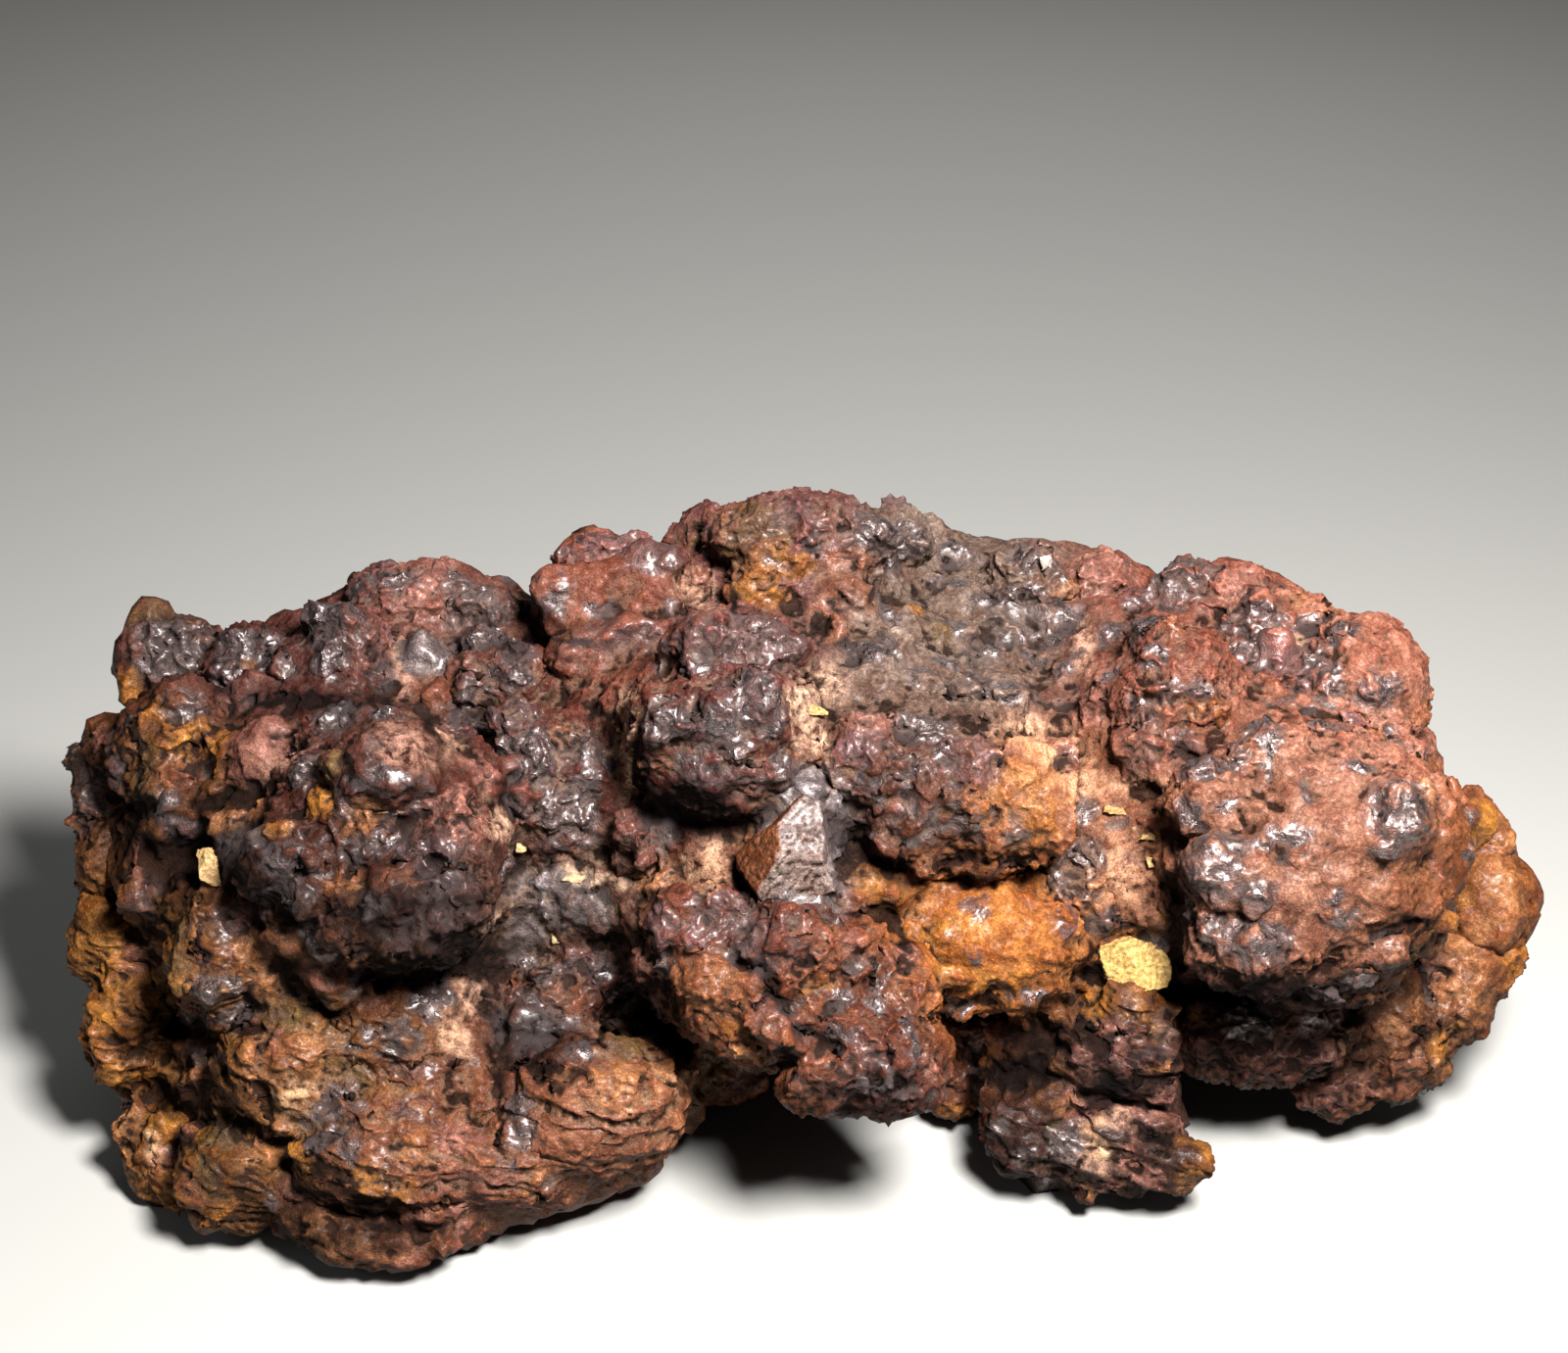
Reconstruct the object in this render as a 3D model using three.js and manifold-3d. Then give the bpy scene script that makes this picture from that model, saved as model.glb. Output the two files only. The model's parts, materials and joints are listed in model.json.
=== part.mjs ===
// Botryoidal hematite: one loose piece of kidney ore, about 150 mm long.
//
// A broken, ochre-stained core carries rounded boulders, and those carry smaller knobs. Everything is
// grown together into one solid, which rests on the flats worn on its feet. +X runs along the specimen,
// its display face looks to -Y and up, and Z is 0 on the surface that it stands on. Millimetres.

import * as THREE from 'three';
import { ImprovedNoise } from 'three/addons/math/ImprovedNoise.js';
import { mergeVertices } from 'three/addons/utils/BufferGeometryUtils.js';
import Module from 'manifold-3d';

const wasm = await Module();
wasm.setup();

// ---- driving dimensions ----

const specimenLength = 150; // along X, over the outermost knobs

// The lists below lay the specimen out in millimetres of their own; the whole is brought to
// specimenLength at the end. The display face is laid out as it is seen by someone leaning over it:
// places on it are across and up, on a plane through the specimen's middle, square to the sight line.
const sightTilt = THREE.MathUtils.degToRad(30); // the sight line falls this far below level
const sightLength = 300;
const faceCentre = new THREE.Vector3(0, 0, 45);

const right = new THREE.Vector3(1, 0, 0);
const rise = new THREE.Vector3(0, Math.sin(sightTilt), Math.cos(sightTilt));
const toEye = new THREE.Vector3().crossVectors(right, rise);
const eye = faceCentre.clone().addScaledVector(toEye, sightLength);

// The line along the middle of the core, where rim knobs that stick out past it are seated.
const spine = [new THREE.Vector3(-44, 0, 30), new THREE.Vector3(46, 0, 30)];

const sunk = 0.3; // how deep a lump's centre lies in what it grows on, as a share of its half thickness
const swell = 1.12; // and so a lump is this much wider than it shows

// How far a lump's skin strays, as a share of its radius, and how many waves of that lie across the radius.
const strays = [
  { share: 0.16, waves: 1.1, shift: new THREE.Vector3(7.3, 0, 2.9) },
  { share: 0.1, waves: 2.9, shift: new THREE.Vector3(0, 4.1, 0) },
];

// The radii above which a lump gets more facets. Core masses are mostly buried, and get theirs later.
const facetSteps = { pebble: 3.6, knob: 6.8, boulder: 10.5, core: 20 };

const blockSide = 1.5; // of a block, as a share of a lump's half size
const wornCorners = 0.35; // how far a block's corners have gone towards round

// ---- the pieces that grow together ----

// Core masses: x, y, z of the centre, then the half sizes along X, Y and Z.
const coreMasses = [
  [-43, -1, 27, 26, 28, 21], // left end
  [0, 3, 30, 36, 30, 22], // middle
  [43, 2, 29, 26, 26, 20], // right end
  [49, 7, 25, 21, 18, 17], // rim behind the right end
  [52, -8, 15, 16, 14, 9], // underside of the right end
  [61, 0, 21, 12, 14, 12], // its outer edge
  [3, 14, 41, 17, 15, 14], // crown
  [26, 12, 33, 18, 15, 13], // back shoulders, either side of the crown
  [-24, 12, 31, 20, 15, 13],
  [-36, -20, 9, 28, 19, 12], // broad left foot
  [-40, -30, 5, 16, 11, 7], // its toe
  [30, -21, 9, 10, 9, 12], // narrow right foot
  [-20, 9, 14, 46, 26, 18], // what it stands on behind the feet
  [30, 10, 14, 36, 25, 17],
];

// Lumps of the display face, each: across, up, half width, half height, then how far the centre stands
// out from what it grows on (as a share of its smaller half size), and its roll in degrees.
const leftBoulders = [
  [-41.0, -17.5, 11.2, 12.4, 0.1, 0],
  [-61.0, -8.2, 6.4, 7.0, 0.1, 0],
  [-37.4, 6.6, 6.2, 5.4, 0.1, 0],
  [-61.8, 1.6, 5.4, 4.2, 0, 0],
  [-53.6, 0.6, 5.0, 4.2, 0.2, 0],
  [-45.4, 1.8, 5.0, 5.0, 0.3, 0],
  [-28.4, -1.8, 6.2, 4.8, 0.1, -20],
  [-24.0, -11.0, 7.4, 7.0, 0.1, 30],
  [-17.6, 10.0, 5.2, 4.0, 0, 0],
];

const leftKnobs = [
  [-50.0, -18.6, 5.2, 4.4, 0, 20],
  [-41.4, -10.6, 5.0, 4.2, 0.1, 0],
  [-34.4, -16.6, 4.2, 5.2, 0, 0],
  [-38.0, -24.0, 7.4, 5.4, 0.1, 0],
  [-52.8, -7.6, 4.2, 3.4, 0, 20],
  [-68.8, -10.5, 3.2, 5.0, 0, 10],
  [-69.0, -18.5, 3.0, 4.4, 0, 0],
  [-30.2, 5.4, 4.2, 3.4, 0, 0],
  [-36.4, 1.0, 3.4, 3.2, -0.2, 0],
  [-25.6, -7.6, 3.4, 3.2, 0.1, 0],
];

const middleBoulders = [
  [-6.4, -6.0, 9.6, 8.4, 0.35, 0],
  [-4.6, 2.4, 7.0, 4.0, 0.1, 0],
  [15.6, -11.4, 11.8, 8.6, 0.25, 0],
  [20.8, -26.8, 10.4, 7.0, 0.35, 0],
  [19.0, -35.6, 9.4, 5.4, 0.1, 0],
  [-1.4, -30.6, 13.0, 8.6, 0.2, -14],
  [8.0, -38.4, 8.6, 6.0, 0.1, -20],
  [1.8, 14.0, 8.4, 4.8, 0.1, 0],
  [20.8, 4.6, 12.4, 9.4, -0.55, 0],
  [-22.6, -32.2, 6.8, 6.2, 0.2, 0],
];

const middleKnobs = [
  [-7.4, 13.6, 4.4, 3.8, 0, 0],
  [10.6, 13.6, 4.4, 3.8, 0.1, 0],
  [-1.4, 10.2, 4.0, 4.0, 0.1, 0],
  [-11.6, -4.8, 4.0, 4.6, 0, 0],
  [-3.6, -4.4, 4.4, 4.4, 0, 0],
  [8.2, -9.0, 4.0, 4.6, 0, 0],
  [24.8, -12.6, 5.0, 6.0, 0.1, 0],
  [20.6, -2.4, 4.4, 2.8, 0.3, 0],
  [24.0, 9.6, 4.6, 3.6, 0.1, 0],
  [30.6, -21.0, 3.2, 4.8, 0.3, 15],
  [-14.4, -17.2, 3.2, 3.6, 0.1, 0],
  [-8.6, -24.8, 5.0, 3.8, 0.1, 0],
  [1.6, -27.6, 5.2, 4.0, 0.2, -10],
  [11.4, -31.2, 4.4, 4.4, 0.1, 0],
  [-6.6, -39.0, 4.8, 4.2, 0.2, 0],
  [0.6, -35.6, 4.4, 3.0, 0.2, -35],
  [3.4, -41.2, 3.8, 3.2, 0.2, 0],
  [17.2, -41.2, 3.8, 3.6, 0.1, 0],
  [-20.6, -23.0, 6.6, 3.8, -0.2, 0],
];

const rightBoulders = [
  [53.4, -18.6, 14.2, 13.2, 0.2, 0],
  [40.0, -2.4, 6.6, 7.4, 0.2, 0],
  [49.6, 3.2, 6.0, 5.4, 0, 0],
  [57.6, -2.4, 7.0, 8.4, -0.3, -30],
  [71.2, -21.0, 3.6, 8.8, -0.1, 8],
  [48.6, -36.2, 9.4, 4.8, 0.1, 0],
  [62.4, -35.6, 5.2, 7.0, 0.1, 0],
];

const rightKnobs = [
  [32.4, 8.6, 4.2, 3.4, 0, 0],
  [41.8, 7.8, 4.6, 3.4, 0, 0],
  [37.6, -8.4, 3.2, 3.8, 0.3, 0],
  [44.0, -13.0, 4.6, 3.8, 0, 0],
  [50.0, -8.6, 4.2, 3.4, 0, 0],
  [46.4, -20.0, 4.6, 4.4, 0, 0],
  [48.4, -27.4, 6.4, 4.8, 0, 0],
  [61.6, -15.4, 4.4, 5.0, 0, 0],
  [70.0, -29.6, 4.4, 3.8, 0, 0],
  [68.2, -34.0, 3.4, 3.2, 0, 0],
  [56.4, -41.6, 3.8, 3.0, 0, 0],
];

const footBoulders = [
  [-69.0, -26.8, 3.6, 4.0, 0, 0],
  [-65.8, -35.6, 4.8, 6.8, 0.2, 0],
  [-57.4, -28.8, 5.0, 5.2, 0, 0],
  [-39.4, -36.6, 7.0, 5.8, 0.2, 0],
  [-49.8, -40.4, 7.4, 6.4, 0, -40],
  [-61.8, -48.6, 5.4, 5.6, 0.3, 0],
  [-54.8, -50.8, 6.2, 5.2, 0.1, 0],
  [-41.0, -48.8, 8.2, 5.8, 0.1, 0],
  [-29.0, -48.8, 8.0, 4.6, 0, 8],
  [-19.6, -43.8, 8.6, 6.8, 0.2, 8],
  [33.6, -37.6, 6.0, 5.4, 0, 0],
  [25.4, -46.8, 4.6, 4.0, 0.2, 0],
  [33.8, -47.6, 5.8, 4.8, 0.1, 0],
  [38.8, -49.4, 4.0, 2.8, 0.2, 0],
];

// Angular pieces: broken corners and crystal faces that show among the lumps.
const blocks = [
  [-18.4, 8.2, 7.8, 3.6, 0.4, 12],
  [-17.4, 2.6, 6.2, 2.8, 0.4, 8],
  [1.0, -17.6, 4.6, 5.8, 0.3, -14],
  [6.2, 6.6, 3.4, 4.2, 0.2, 30],
  [35.4, -28.8, 3.6, 2.4, 0.2, -20],
  [-47.4, -28.8, 3.0, 5.0, 0.2, 40],
  [-40.6, -57.0, 8.2, 3.9, 0, 4],
];

// Hollows worn into the specimen, laid out in the same way; they are sunk instead of standing out.
const hollows = [
  [-60.4, -17.2, 3.6, 3.0, 0, 0],
  [-12.6, -36.6, 2.2, 5.4, 0, 8],
  [-61.8, -47.6, 1.8, 1.8, 0, 0],
  [50.2, -12.6, 2.0, 1.8, 0, 0],
];
const hollowSink = 0.4; // how deep the centre of a hollow lies, as a share of its half thickness

// The side away from the display face, and both ends, carry boulders in rows along the specimen.
const backRows = [
  { turn: 118, count: 5, radius: 6.2 }, // degrees round the spine, from level at the front over the top
  { turn: 140, count: 6, radius: 7.4 },
  { turn: 163, count: 5, radius: 8.6 },
  { turn: 186, count: 5, radius: 6.6 },
  { turn: 204, count: 3, radius: 6.6 },
];
const backRowReach = 56; // the rows run this far from the middle, each way
const backRowHeight = 26; // their boulders grow outwards from a level line at this height
const backRowFrom = 0.7; // which is this share of the reach long
const backRowFan = 60; // the smaller this is, the more the rows turn round the ends
const backRowShape = new THREE.Vector3(1, 0.85, 0.75); // of a boulder: along, up and outwards
const backRowStray = { place: 0.3, turn: 9, radius: 0.3 }; // share of a step, degrees, share of a radius

// ---- making a lump ----

const noise = new ImprovedNoise();

// A number from -1 to 1 that depends only on the two it is given.
function scatter(a, b) {
  const wave = Math.sin(a * 127.1 + b * 311.7) * 43758.5453;
  return 2 * (wave - Math.floor(wave)) - 1;
}

// The closed skin of a lump with the given half sizes, in its own axes. Each is spun its own way, so that
// no two look alike.
function lumpSkin(half, kind) {
  if (kind === 'block') return blockSkin(half);
  const radius = Math.cbrt(half.x * half.y * half.z);
  const finest = kind === 'core' ? facetSteps.core : facetSteps.boulder;
  const skin = radius > facetSteps.pebble && radius < facetSteps.knob
    ? new THREE.OctahedronGeometry(1, 1)
    : new THREE.IcosahedronGeometry(1, radius > finest ? 2 : radius > facetSteps.knob ? 1 : 0);
  skin.rotateX(scatter(half.x, half.y) * Math.PI).rotateY(scatter(half.y, half.z) * Math.PI);
  return skin.scale(half.x, half.y, half.z);
}

function blockSkin(half) {
  const skin = new THREE.BoxGeometry(blockSide, blockSide, blockSide, 2, 2, 2);
  const place = skin.attributes.position;
  const point = new THREE.Vector3();
  for (let i = 0; i < place.count; i++) {
    point.fromBufferAttribute(place, i);
    point.lerp(point.clone().normalize(), wornCorners);
    place.setXYZ(i, point.x, point.y, point.z);
  }
  return skin.scale(half.x, half.y, half.z);
}

// Roughens a placed skin with noise that depends only on where each point lies in the specimen.
function roughen(skin, centre, radius) {
  const place = skin.attributes.position;
  const point = new THREE.Vector3();
  const sample = new THREE.Vector3();
  for (let i = 0; i < place.count; i++) {
    point.fromBufferAttribute(place, i);
    let stray = 0;
    for (const { share, waves, shift } of strays) {
      sample.copy(point).multiplyScalar(waves / radius).add(shift);
      stray += share * noise.noise(sample.x, sample.y, sample.z);
    }
    point.sub(centre).multiplyScalar(1 + stray).add(centre);
    place.setXYZ(i, point.x, point.y, point.z);
  }
  return skin;
}

function lump(centre, half, turned, kind = 'round') {
  const skin = lumpSkin(half, kind);
  skin.applyQuaternion(turned);
  skin.translate(centre.x, centre.y, centre.z);
  roughen(skin, centre, Math.cbrt(half.x * half.y * half.z));
  const mesh = new THREE.Mesh(skin);
  mesh.updateMatrixWorld();
  return mesh;
}

// ---- placing it ----

const raycaster = new THREE.Raycaster();

// Where a place on the display face lies on what has grown so far, or beside the spine if it misses.
function seatOnFace(across, up, grown) {
  const aim = faceCentre.clone().addScaledVector(right, across).addScaledVector(rise, up);
  const sight = aim.sub(eye).normalize();
  raycaster.set(eye, sight);
  const hit = raycaster.intersectObjects(grown, false)[0];
  if (hit) return { point: hit.point, sight };
  const point = new THREE.Vector3();
  raycaster.ray.distanceSqToSegment(spine[0], spine[1], point);
  return { point, sight };
}

function faceLump([across, up, halfWidth, halfHeight, standOut, roll], grown, kind = 'round', sink = sunk) {
  const { point, sight } = seatOnFace(across, up, grown);
  const nearness = toEye.dot(eye.clone().sub(point)) / sightLength;
  const least = Math.min(halfWidth, halfHeight);
  const half = new THREE.Vector3(halfWidth, halfHeight, least).multiplyScalar(nearness * swell);
  const centre = point.addScaledVector(sight, (sink - standOut) * half.z);
  const turned = new THREE.Matrix4().makeBasis(right, rise, toEye);
  turned.multiply(new THREE.Matrix4().makeRotationZ(THREE.MathUtils.degToRad(roll)));
  return lump(centre, half, new THREE.Quaternion().setFromRotationMatrix(turned), kind);
}

function coreLump([x, y, z, halfX, halfY, halfZ]) {
  const half = new THREE.Vector3(halfX, halfY, halfZ);
  return lump(new THREE.Vector3(x, y, z), half, new THREE.Quaternion(), 'core');
}

// One row of boulders along the back, seated on the core by rays that run in towards its middle.
function backRow({ turn, count, radius }, row, core) {
  const made = [];
  for (let i = 0; i < count; i++) {
    const share = (i + 0.5 + backRowStray.place * scatter(i, row)) / count;
    const along = backRowReach * (2 * share - 1);
    const angle = THREE.MathUtils.degToRad(turn + backRowStray.turn * scatter(row, i));
    const outward = new THREE.Vector3(along / backRowFan, -Math.cos(angle), Math.sin(angle)).normalize();
    const middle = new THREE.Vector3(along * backRowFrom, 0, backRowHeight);
    const start = middle.clone().addScaledVector(outward, specimenLength);
    raycaster.set(start, outward.clone().negate());
    const hit = raycaster.intersectObjects(core, false)[0];
    if (!hit) continue;
    const reach = radius * (1 + backRowStray.radius * scatter(i + 3, row));
    const half = backRowShape.clone().multiplyScalar(reach);
    const centre = hit.point.addScaledVector(outward, -sunk * half.z);
    const turned = new THREE.Quaternion().setFromUnitVectors(new THREE.Vector3(0, 0, 1), outward);
    made.push(lump(centre, half, turned));
  }
  return made;
}

// ---- joining it into one solid ----

// A closed three.js geometry as a manifold-3d solid.
function solidOf(geometry) {
  const bare = geometry.clone();
  bare.deleteAttribute('normal');
  bare.deleteAttribute('uv');
  const merged = mergeVertices(bare, 1e-3);
  const vertProperties = merged.attributes.position.array;
  const triVerts = new Uint32Array(merged.index.array);
  return new wasm.Manifold(new wasm.Mesh({ numProp: 3, vertProperties, triVerts }));
}

function growSpecimen() {
  const core = coreMasses.map(coreLump);
  const grown = [...core];
  backRows.forEach((row, i) => grown.push(...backRow(row, i, core)));
  const regions = [
    leftBoulders, leftKnobs, middleBoulders, middleKnobs, rightBoulders, rightKnobs, footBoulders,
  ];
  for (const region of regions) {
    for (const entry of region) grown.push(faceLump(entry, grown));
  }
  for (const entry of blocks) grown.push(faceLump(entry, grown, 'block'));
  const worn = hollows.map((entry) => faceLump(entry, grown, 'round', hollowSink));
  const whole = grown.map((mesh) => solidOf(mesh.geometry)).reduce((all, lumpOf) => all.add(lumpOf));
  return worn.map((mesh) => solidOf(mesh.geometry)).reduce((all, gap) => all.subtract(gap), whole);
}

// Cuts away what lies below the surface that the specimen stands on.
function standFlat(solid) {
  const ample = 2 * specimenLength;
  const below = new THREE.BoxGeometry(ample, ample, ample).translate(0, 0, -ample / 2);
  return solid.subtract(solidOf(below));
}

function geometryOf(solid) {
  const { vertProperties, triVerts } = solid.getMesh();
  const geometry = new THREE.BufferGeometry();
  geometry.setAttribute('position', new THREE.BufferAttribute(vertProperties, 3));
  geometry.setIndex(new THREE.BufferAttribute(triVerts, 1));
  geometry.computeVertexNormals();
  return geometry;
}

// Brings the grown specimen to its true length, with the middle of its footprint at the origin.
function standAtOrigin(geometry) {
  geometry.computeBoundingBox();
  const { min, max } = geometry.boundingBox;
  const middle = min.clone().add(max).multiplyScalar(0.5);
  const scale = specimenLength / (max.x - min.x);
  return geometry.translate(-middle.x, -middle.y, 0).scale(scale, scale, scale);
}

const hematiteSkin = new THREE.MeshStandardMaterial({ color: 0x4a2a22, roughness: 0.42, metalness: 0.35 });

const hematite = new THREE.Mesh(standAtOrigin(geometryOf(standFlat(growSpecimen()))), hematiteSkin);
hematite.name = 'hematite';

const specimen = new THREE.Group();
specimen.add(hematite);

export default specimen;
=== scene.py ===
import json
import math

import bpy
import numpy as np
from mathutils import Matrix, Vector
from mathutils.bvhtree import BVHTree
from mathutils.noise import noise_vector, seed_set

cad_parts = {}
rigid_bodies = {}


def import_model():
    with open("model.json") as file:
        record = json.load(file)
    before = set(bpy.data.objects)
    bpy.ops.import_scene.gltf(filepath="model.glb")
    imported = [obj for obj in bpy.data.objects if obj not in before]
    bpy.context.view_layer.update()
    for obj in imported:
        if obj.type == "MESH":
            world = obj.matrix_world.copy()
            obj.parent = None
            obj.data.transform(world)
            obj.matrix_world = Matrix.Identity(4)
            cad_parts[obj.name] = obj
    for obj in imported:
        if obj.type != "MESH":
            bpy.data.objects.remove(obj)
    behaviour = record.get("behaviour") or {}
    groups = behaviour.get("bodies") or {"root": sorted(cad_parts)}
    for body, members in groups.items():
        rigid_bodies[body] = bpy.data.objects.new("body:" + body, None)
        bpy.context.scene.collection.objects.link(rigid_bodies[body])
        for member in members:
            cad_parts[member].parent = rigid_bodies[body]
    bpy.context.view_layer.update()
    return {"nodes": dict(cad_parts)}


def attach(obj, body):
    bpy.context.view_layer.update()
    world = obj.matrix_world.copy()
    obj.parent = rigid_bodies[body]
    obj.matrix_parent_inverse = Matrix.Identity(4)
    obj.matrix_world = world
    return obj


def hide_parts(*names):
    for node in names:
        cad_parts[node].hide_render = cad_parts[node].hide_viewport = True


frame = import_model()
scene = bpy.context.scene
mm = 0.001
seed_set(5)  # without it the noise is drawn from the clock

# Places on the display face are given as seen from above the front: across and up, in millimetres,
# on a plane through the specimen's middle that is square to the line of sight.
sight = {
    "middle": (-1.403, 3.348, 45.309),
    "tilt": 30,  # degrees below level
    "length": 302.06,
    "lens": 67.5,
    "step": 1.00686,  # one millimetre of the lists, on the finished stone
}
sightTilt = math.radians(sight["tilt"])
rightward = Vector((1, 0, 0))
upward = Vector((0, math.sin(sightTilt), math.cos(sightTilt)))
toEye = rightward.cross(upward)
middle = Vector(sight["middle"]) * mm
eye = middle + toEye * sight["length"] * mm
faceTurn = Matrix((rightward, upward, toEye)).transposed()


def lookAt(across, up):
    aim = middle + (rightward * across + upward * up) * sight["step"] * mm
    return (aim - eye).normalized()


def only(thing):
    bpy.ops.object.select_all(action="DESELECT")
    thing.hide_set(False)
    thing.select_set(True)
    bpy.context.view_layer.objects.active = thing


def useModifier(thing, kind, **settings):
    only(thing)
    modifier = thing.modifiers.new(kind.lower(), kind)
    for name, value in settings.items():
        setattr(modifier, name, value)
    bpy.ops.object.modifier_apply(modifier=modifier.name)


def placesOf(thing):
    spots = np.empty(len(thing.data.vertices) * 3)
    thing.data.vertices.foreach_get("co", spots)
    return spots.reshape(-1, 3)


def setPlaces(thing, spots):
    thing.data.vertices.foreach_set("co", spots.ravel())
    thing.data.update()


def normalsOf(thing):
    normals = np.empty(len(thing.data.vertices) * 3)
    thing.data.vertices.foreach_get("normal", normals)
    return normals.reshape(-1, 3)


def perMillimetre(place):  # how large a millimetre of the lists is at a place, in metres
    return (eye - place).length / (sight["length"] * mm) * sight["step"] * mm


def rolled(angle):  # an axis frame that faces the eye, rolled by some degrees
    return faceTurn @ Matrix.Rotation(math.radians(angle), 3, "Z")


def join(piece, others):
    only(piece)
    for other in others:
        other.select_set(True)
    bpy.ops.object.join()


def resurface(piece, voxel, rounds):
    useModifier(piece, "REMESH", mode="VOXEL", voxel_size=voxel * mm)
    useModifier(piece, "SMOOTH", factor=0.5, iterations=rounds)


def onFace(spots):  # where points stand on the display face: across and up
    offset = spots - np.array(eye)
    away = -(offset @ np.array(toEye))
    scale = sight["length"] / away / sight["step"]  # metres in, millimetres out
    return offset @ np.array(rightward) * scale, offset @ np.array(upward) * scale


def surfaceOf(thing):
    return BVHTree.FromObject(thing, bpy.context.evaluated_depsgraph_get())


def inSight(surface, spots, slack):  # which points nothing hides from the eye
    seen = np.zeros(len(spots), dtype=bool)
    for i, spot in enumerate(spots):
        away = Vector(spot) - eye
        place = surface.ray_cast(eye, away.normalized())[0]
        seen[i] = place is not None and (place - eye).length > away.length - slack * mm
    return seen


# the stone's body
stone = {
    "bodyVoxel": 1.0,  # mm
    "bodySmoothing": 10,
    "formVoxel": 0.6,
    "swell": 1.1,
    "tuck": 2.0,  # how far the body draws back under a boulder
    "tuckReach": 1.04,  # in the boulder's half sizes
    "tuckFade": 0.12,
    "matrixVoxel": 0.42,
    "boulderVoxel": 0.28,
    "seamSmoothing": 2,
    "triangles": 188000,  # a piece
    "frontFavour": 0.00001,
    "hiddenDepth": 1.8,  # mm under the form, where triangles are saved first
    "seenDepth": 2.0,  # mm under the form that the eye may still look into
    "settled": 0.0004,  # m above the floor within which a foot is flat
}

node = frame["nodes"]["hematite"]
matrix = bpy.data.objects.new("matrix", node.data.copy())
scene.collection.objects.link(matrix)
matrix.data.materials.clear()
only(matrix)
bpy.ops.object.mode_set(mode="EDIT")
bpy.ops.mesh.select_all(action="SELECT")
bpy.ops.mesh.remove_doubles(threshold=0.00001)
bpy.ops.object.mode_set(mode="OBJECT")
resurface(matrix, stone["bodyVoxel"], stone["bodySmoothing"])
print("body:", len(matrix.data.polygons), "faces")

# boulders, seated at their middles: across, up, half width, half height, roll
boulders = {
    "left": [
        (-41, -17.5, 11.2, 12.4), (-61, -8.2, 6.4, 7), (-37.4, 6.6, 6.2, 5.4), (-61.8, 1.6, 5.4, 4.2),
        (-53.6, 0.6, 5, 4.2), (-45.4, 1.8, 5, 5), (-28.4, -1.8, 6.2, 4.8, -20), (-24, -11, 7.4, 7, 30),
        (-17.6, 10, 5.2, 4), (-50, -18.6, 5.2, 4.4, 20), (-34.4, -16.6, 4.2, 5.2), (-38, -24, 7.4, 5.4),
        (-68.8, -10.5, 3.2, 5, 10), (-69, -18.5, 3, 4.4), (-30.2, 5.4, 4.2, 3.4), (-25.6, -7.6, 3.4, 3.2),
    ],
    "middle": [
        (-6.4, -6, 9.6, 8.4), (-4.6, 2.4, 7, 4), (15.6, -11.4, 11.8, 8.6), (20.8, -26.8, 10.4, 7),
        (19, -35.6, 9.4, 5.4), (-1.4, -30.6, 13, 8.6, -14), (8, -38.4, 8.6, 6, -20), (1.8, 14, 8.4, 4.8),
        (-22.6, -32.2, 6.8, 6.2), (-7.4, 13.6, 4.4, 3.8), (-8.6, 9.4, 3.6, 3.6), (10.6, 13.6, 4.4, 3.8),
        (-1.4, 10.2, 4, 4), (-11.6, -4.8, 4, 4.6), (-3.6, -4.4, 4.4, 4.4), (8.2, -9, 4, 4.6),
        (24.8, -12.6, 5, 6), (20.6, -2.4, 4.4, 2.8), (24, 9.6, 4.6, 3.6), (30.6, -21, 3.2, 4.8, 15),
        (-14.4, -17.2, 3.2, 3.6), (-8.6, -24.8, 5, 3.8), (1.6, -27.6, 5.2, 4, -10), (11.4, -31.2, 4.4, 4.4),
        (-6.6, -39, 4.8, 4.2), (0.6, -35.6, 4.4, 3, -35), (3.4, -41.2, 3.8, 3.2), (17.2, -41.2, 3.8, 3.6),
    ],
    "right": [
        (53.4, -18.6, 14.2, 13.2), (40, -2.4, 6.6, 7.4), (49.6, 3.2, 6, 5.4), (57.6, -2.4, 7, 8.4, -30),
        (71.2, -21, 3.6, 8.8, 8), (48.6, -36.2, 9.4, 4.8), (62.4, -35.6, 5.2, 7), (32.4, 8.6, 4.2, 3.4),
        (41.8, 7.8, 4.6, 3.4), (37.6, -8.4, 3.2, 3.8), (44, -13, 4.6, 3.8), (50, -8.6, 4.2, 3.4),
        (46.4, -20, 4.6, 4.4), (48.4, -27.4, 6.4, 4.8), (61.6, -15.4, 4.4, 5), (70, -29.6, 4.4, 3.8),
        (68.2, -34, 3.4, 3.2), (56.4, -41.6, 3.8, 3),
    ],
    "feet": [
        (-69, -26.8, 3.6, 4), (-65.8, -35.6, 4.8, 6.8), (-57.4, -28.8, 5, 5.2), (-39.4, -36.6, 7, 5.8),
        (-49.8, -40.4, 7.4, 6.4, -40), (-61.8, -48.6, 5.4, 5.6), (-54.8, -50.8, 6.2, 5.2),
        (-41, -48.8, 8.2, 5.8), (-29, -48.8, 8, 4.6, 8), (-19.6, -43.8, 8.6, 6.8, 8), (33.6, -37.6, 6, 5.4),
        (25.4, -46.8, 4.6, 4), (33.8, -47.6, 5.8, 4.8), (38.8, -49.4, 4, 2.8),
    ],
}

# blocks with worn corners: across, up, half width, half height, share that stands proud, roll
blocks = [
    (-18.4, 8.2, 7.8, 3.6, 0.4, 12), (-17.4, 2.6, 6.2, 2.8, 0.4, 8), (-47.4, -28.8, 2.4, 4, 0.2, 40),
]
grown = []  # centre, turn and half sizes of each knob, and its finish


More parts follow.
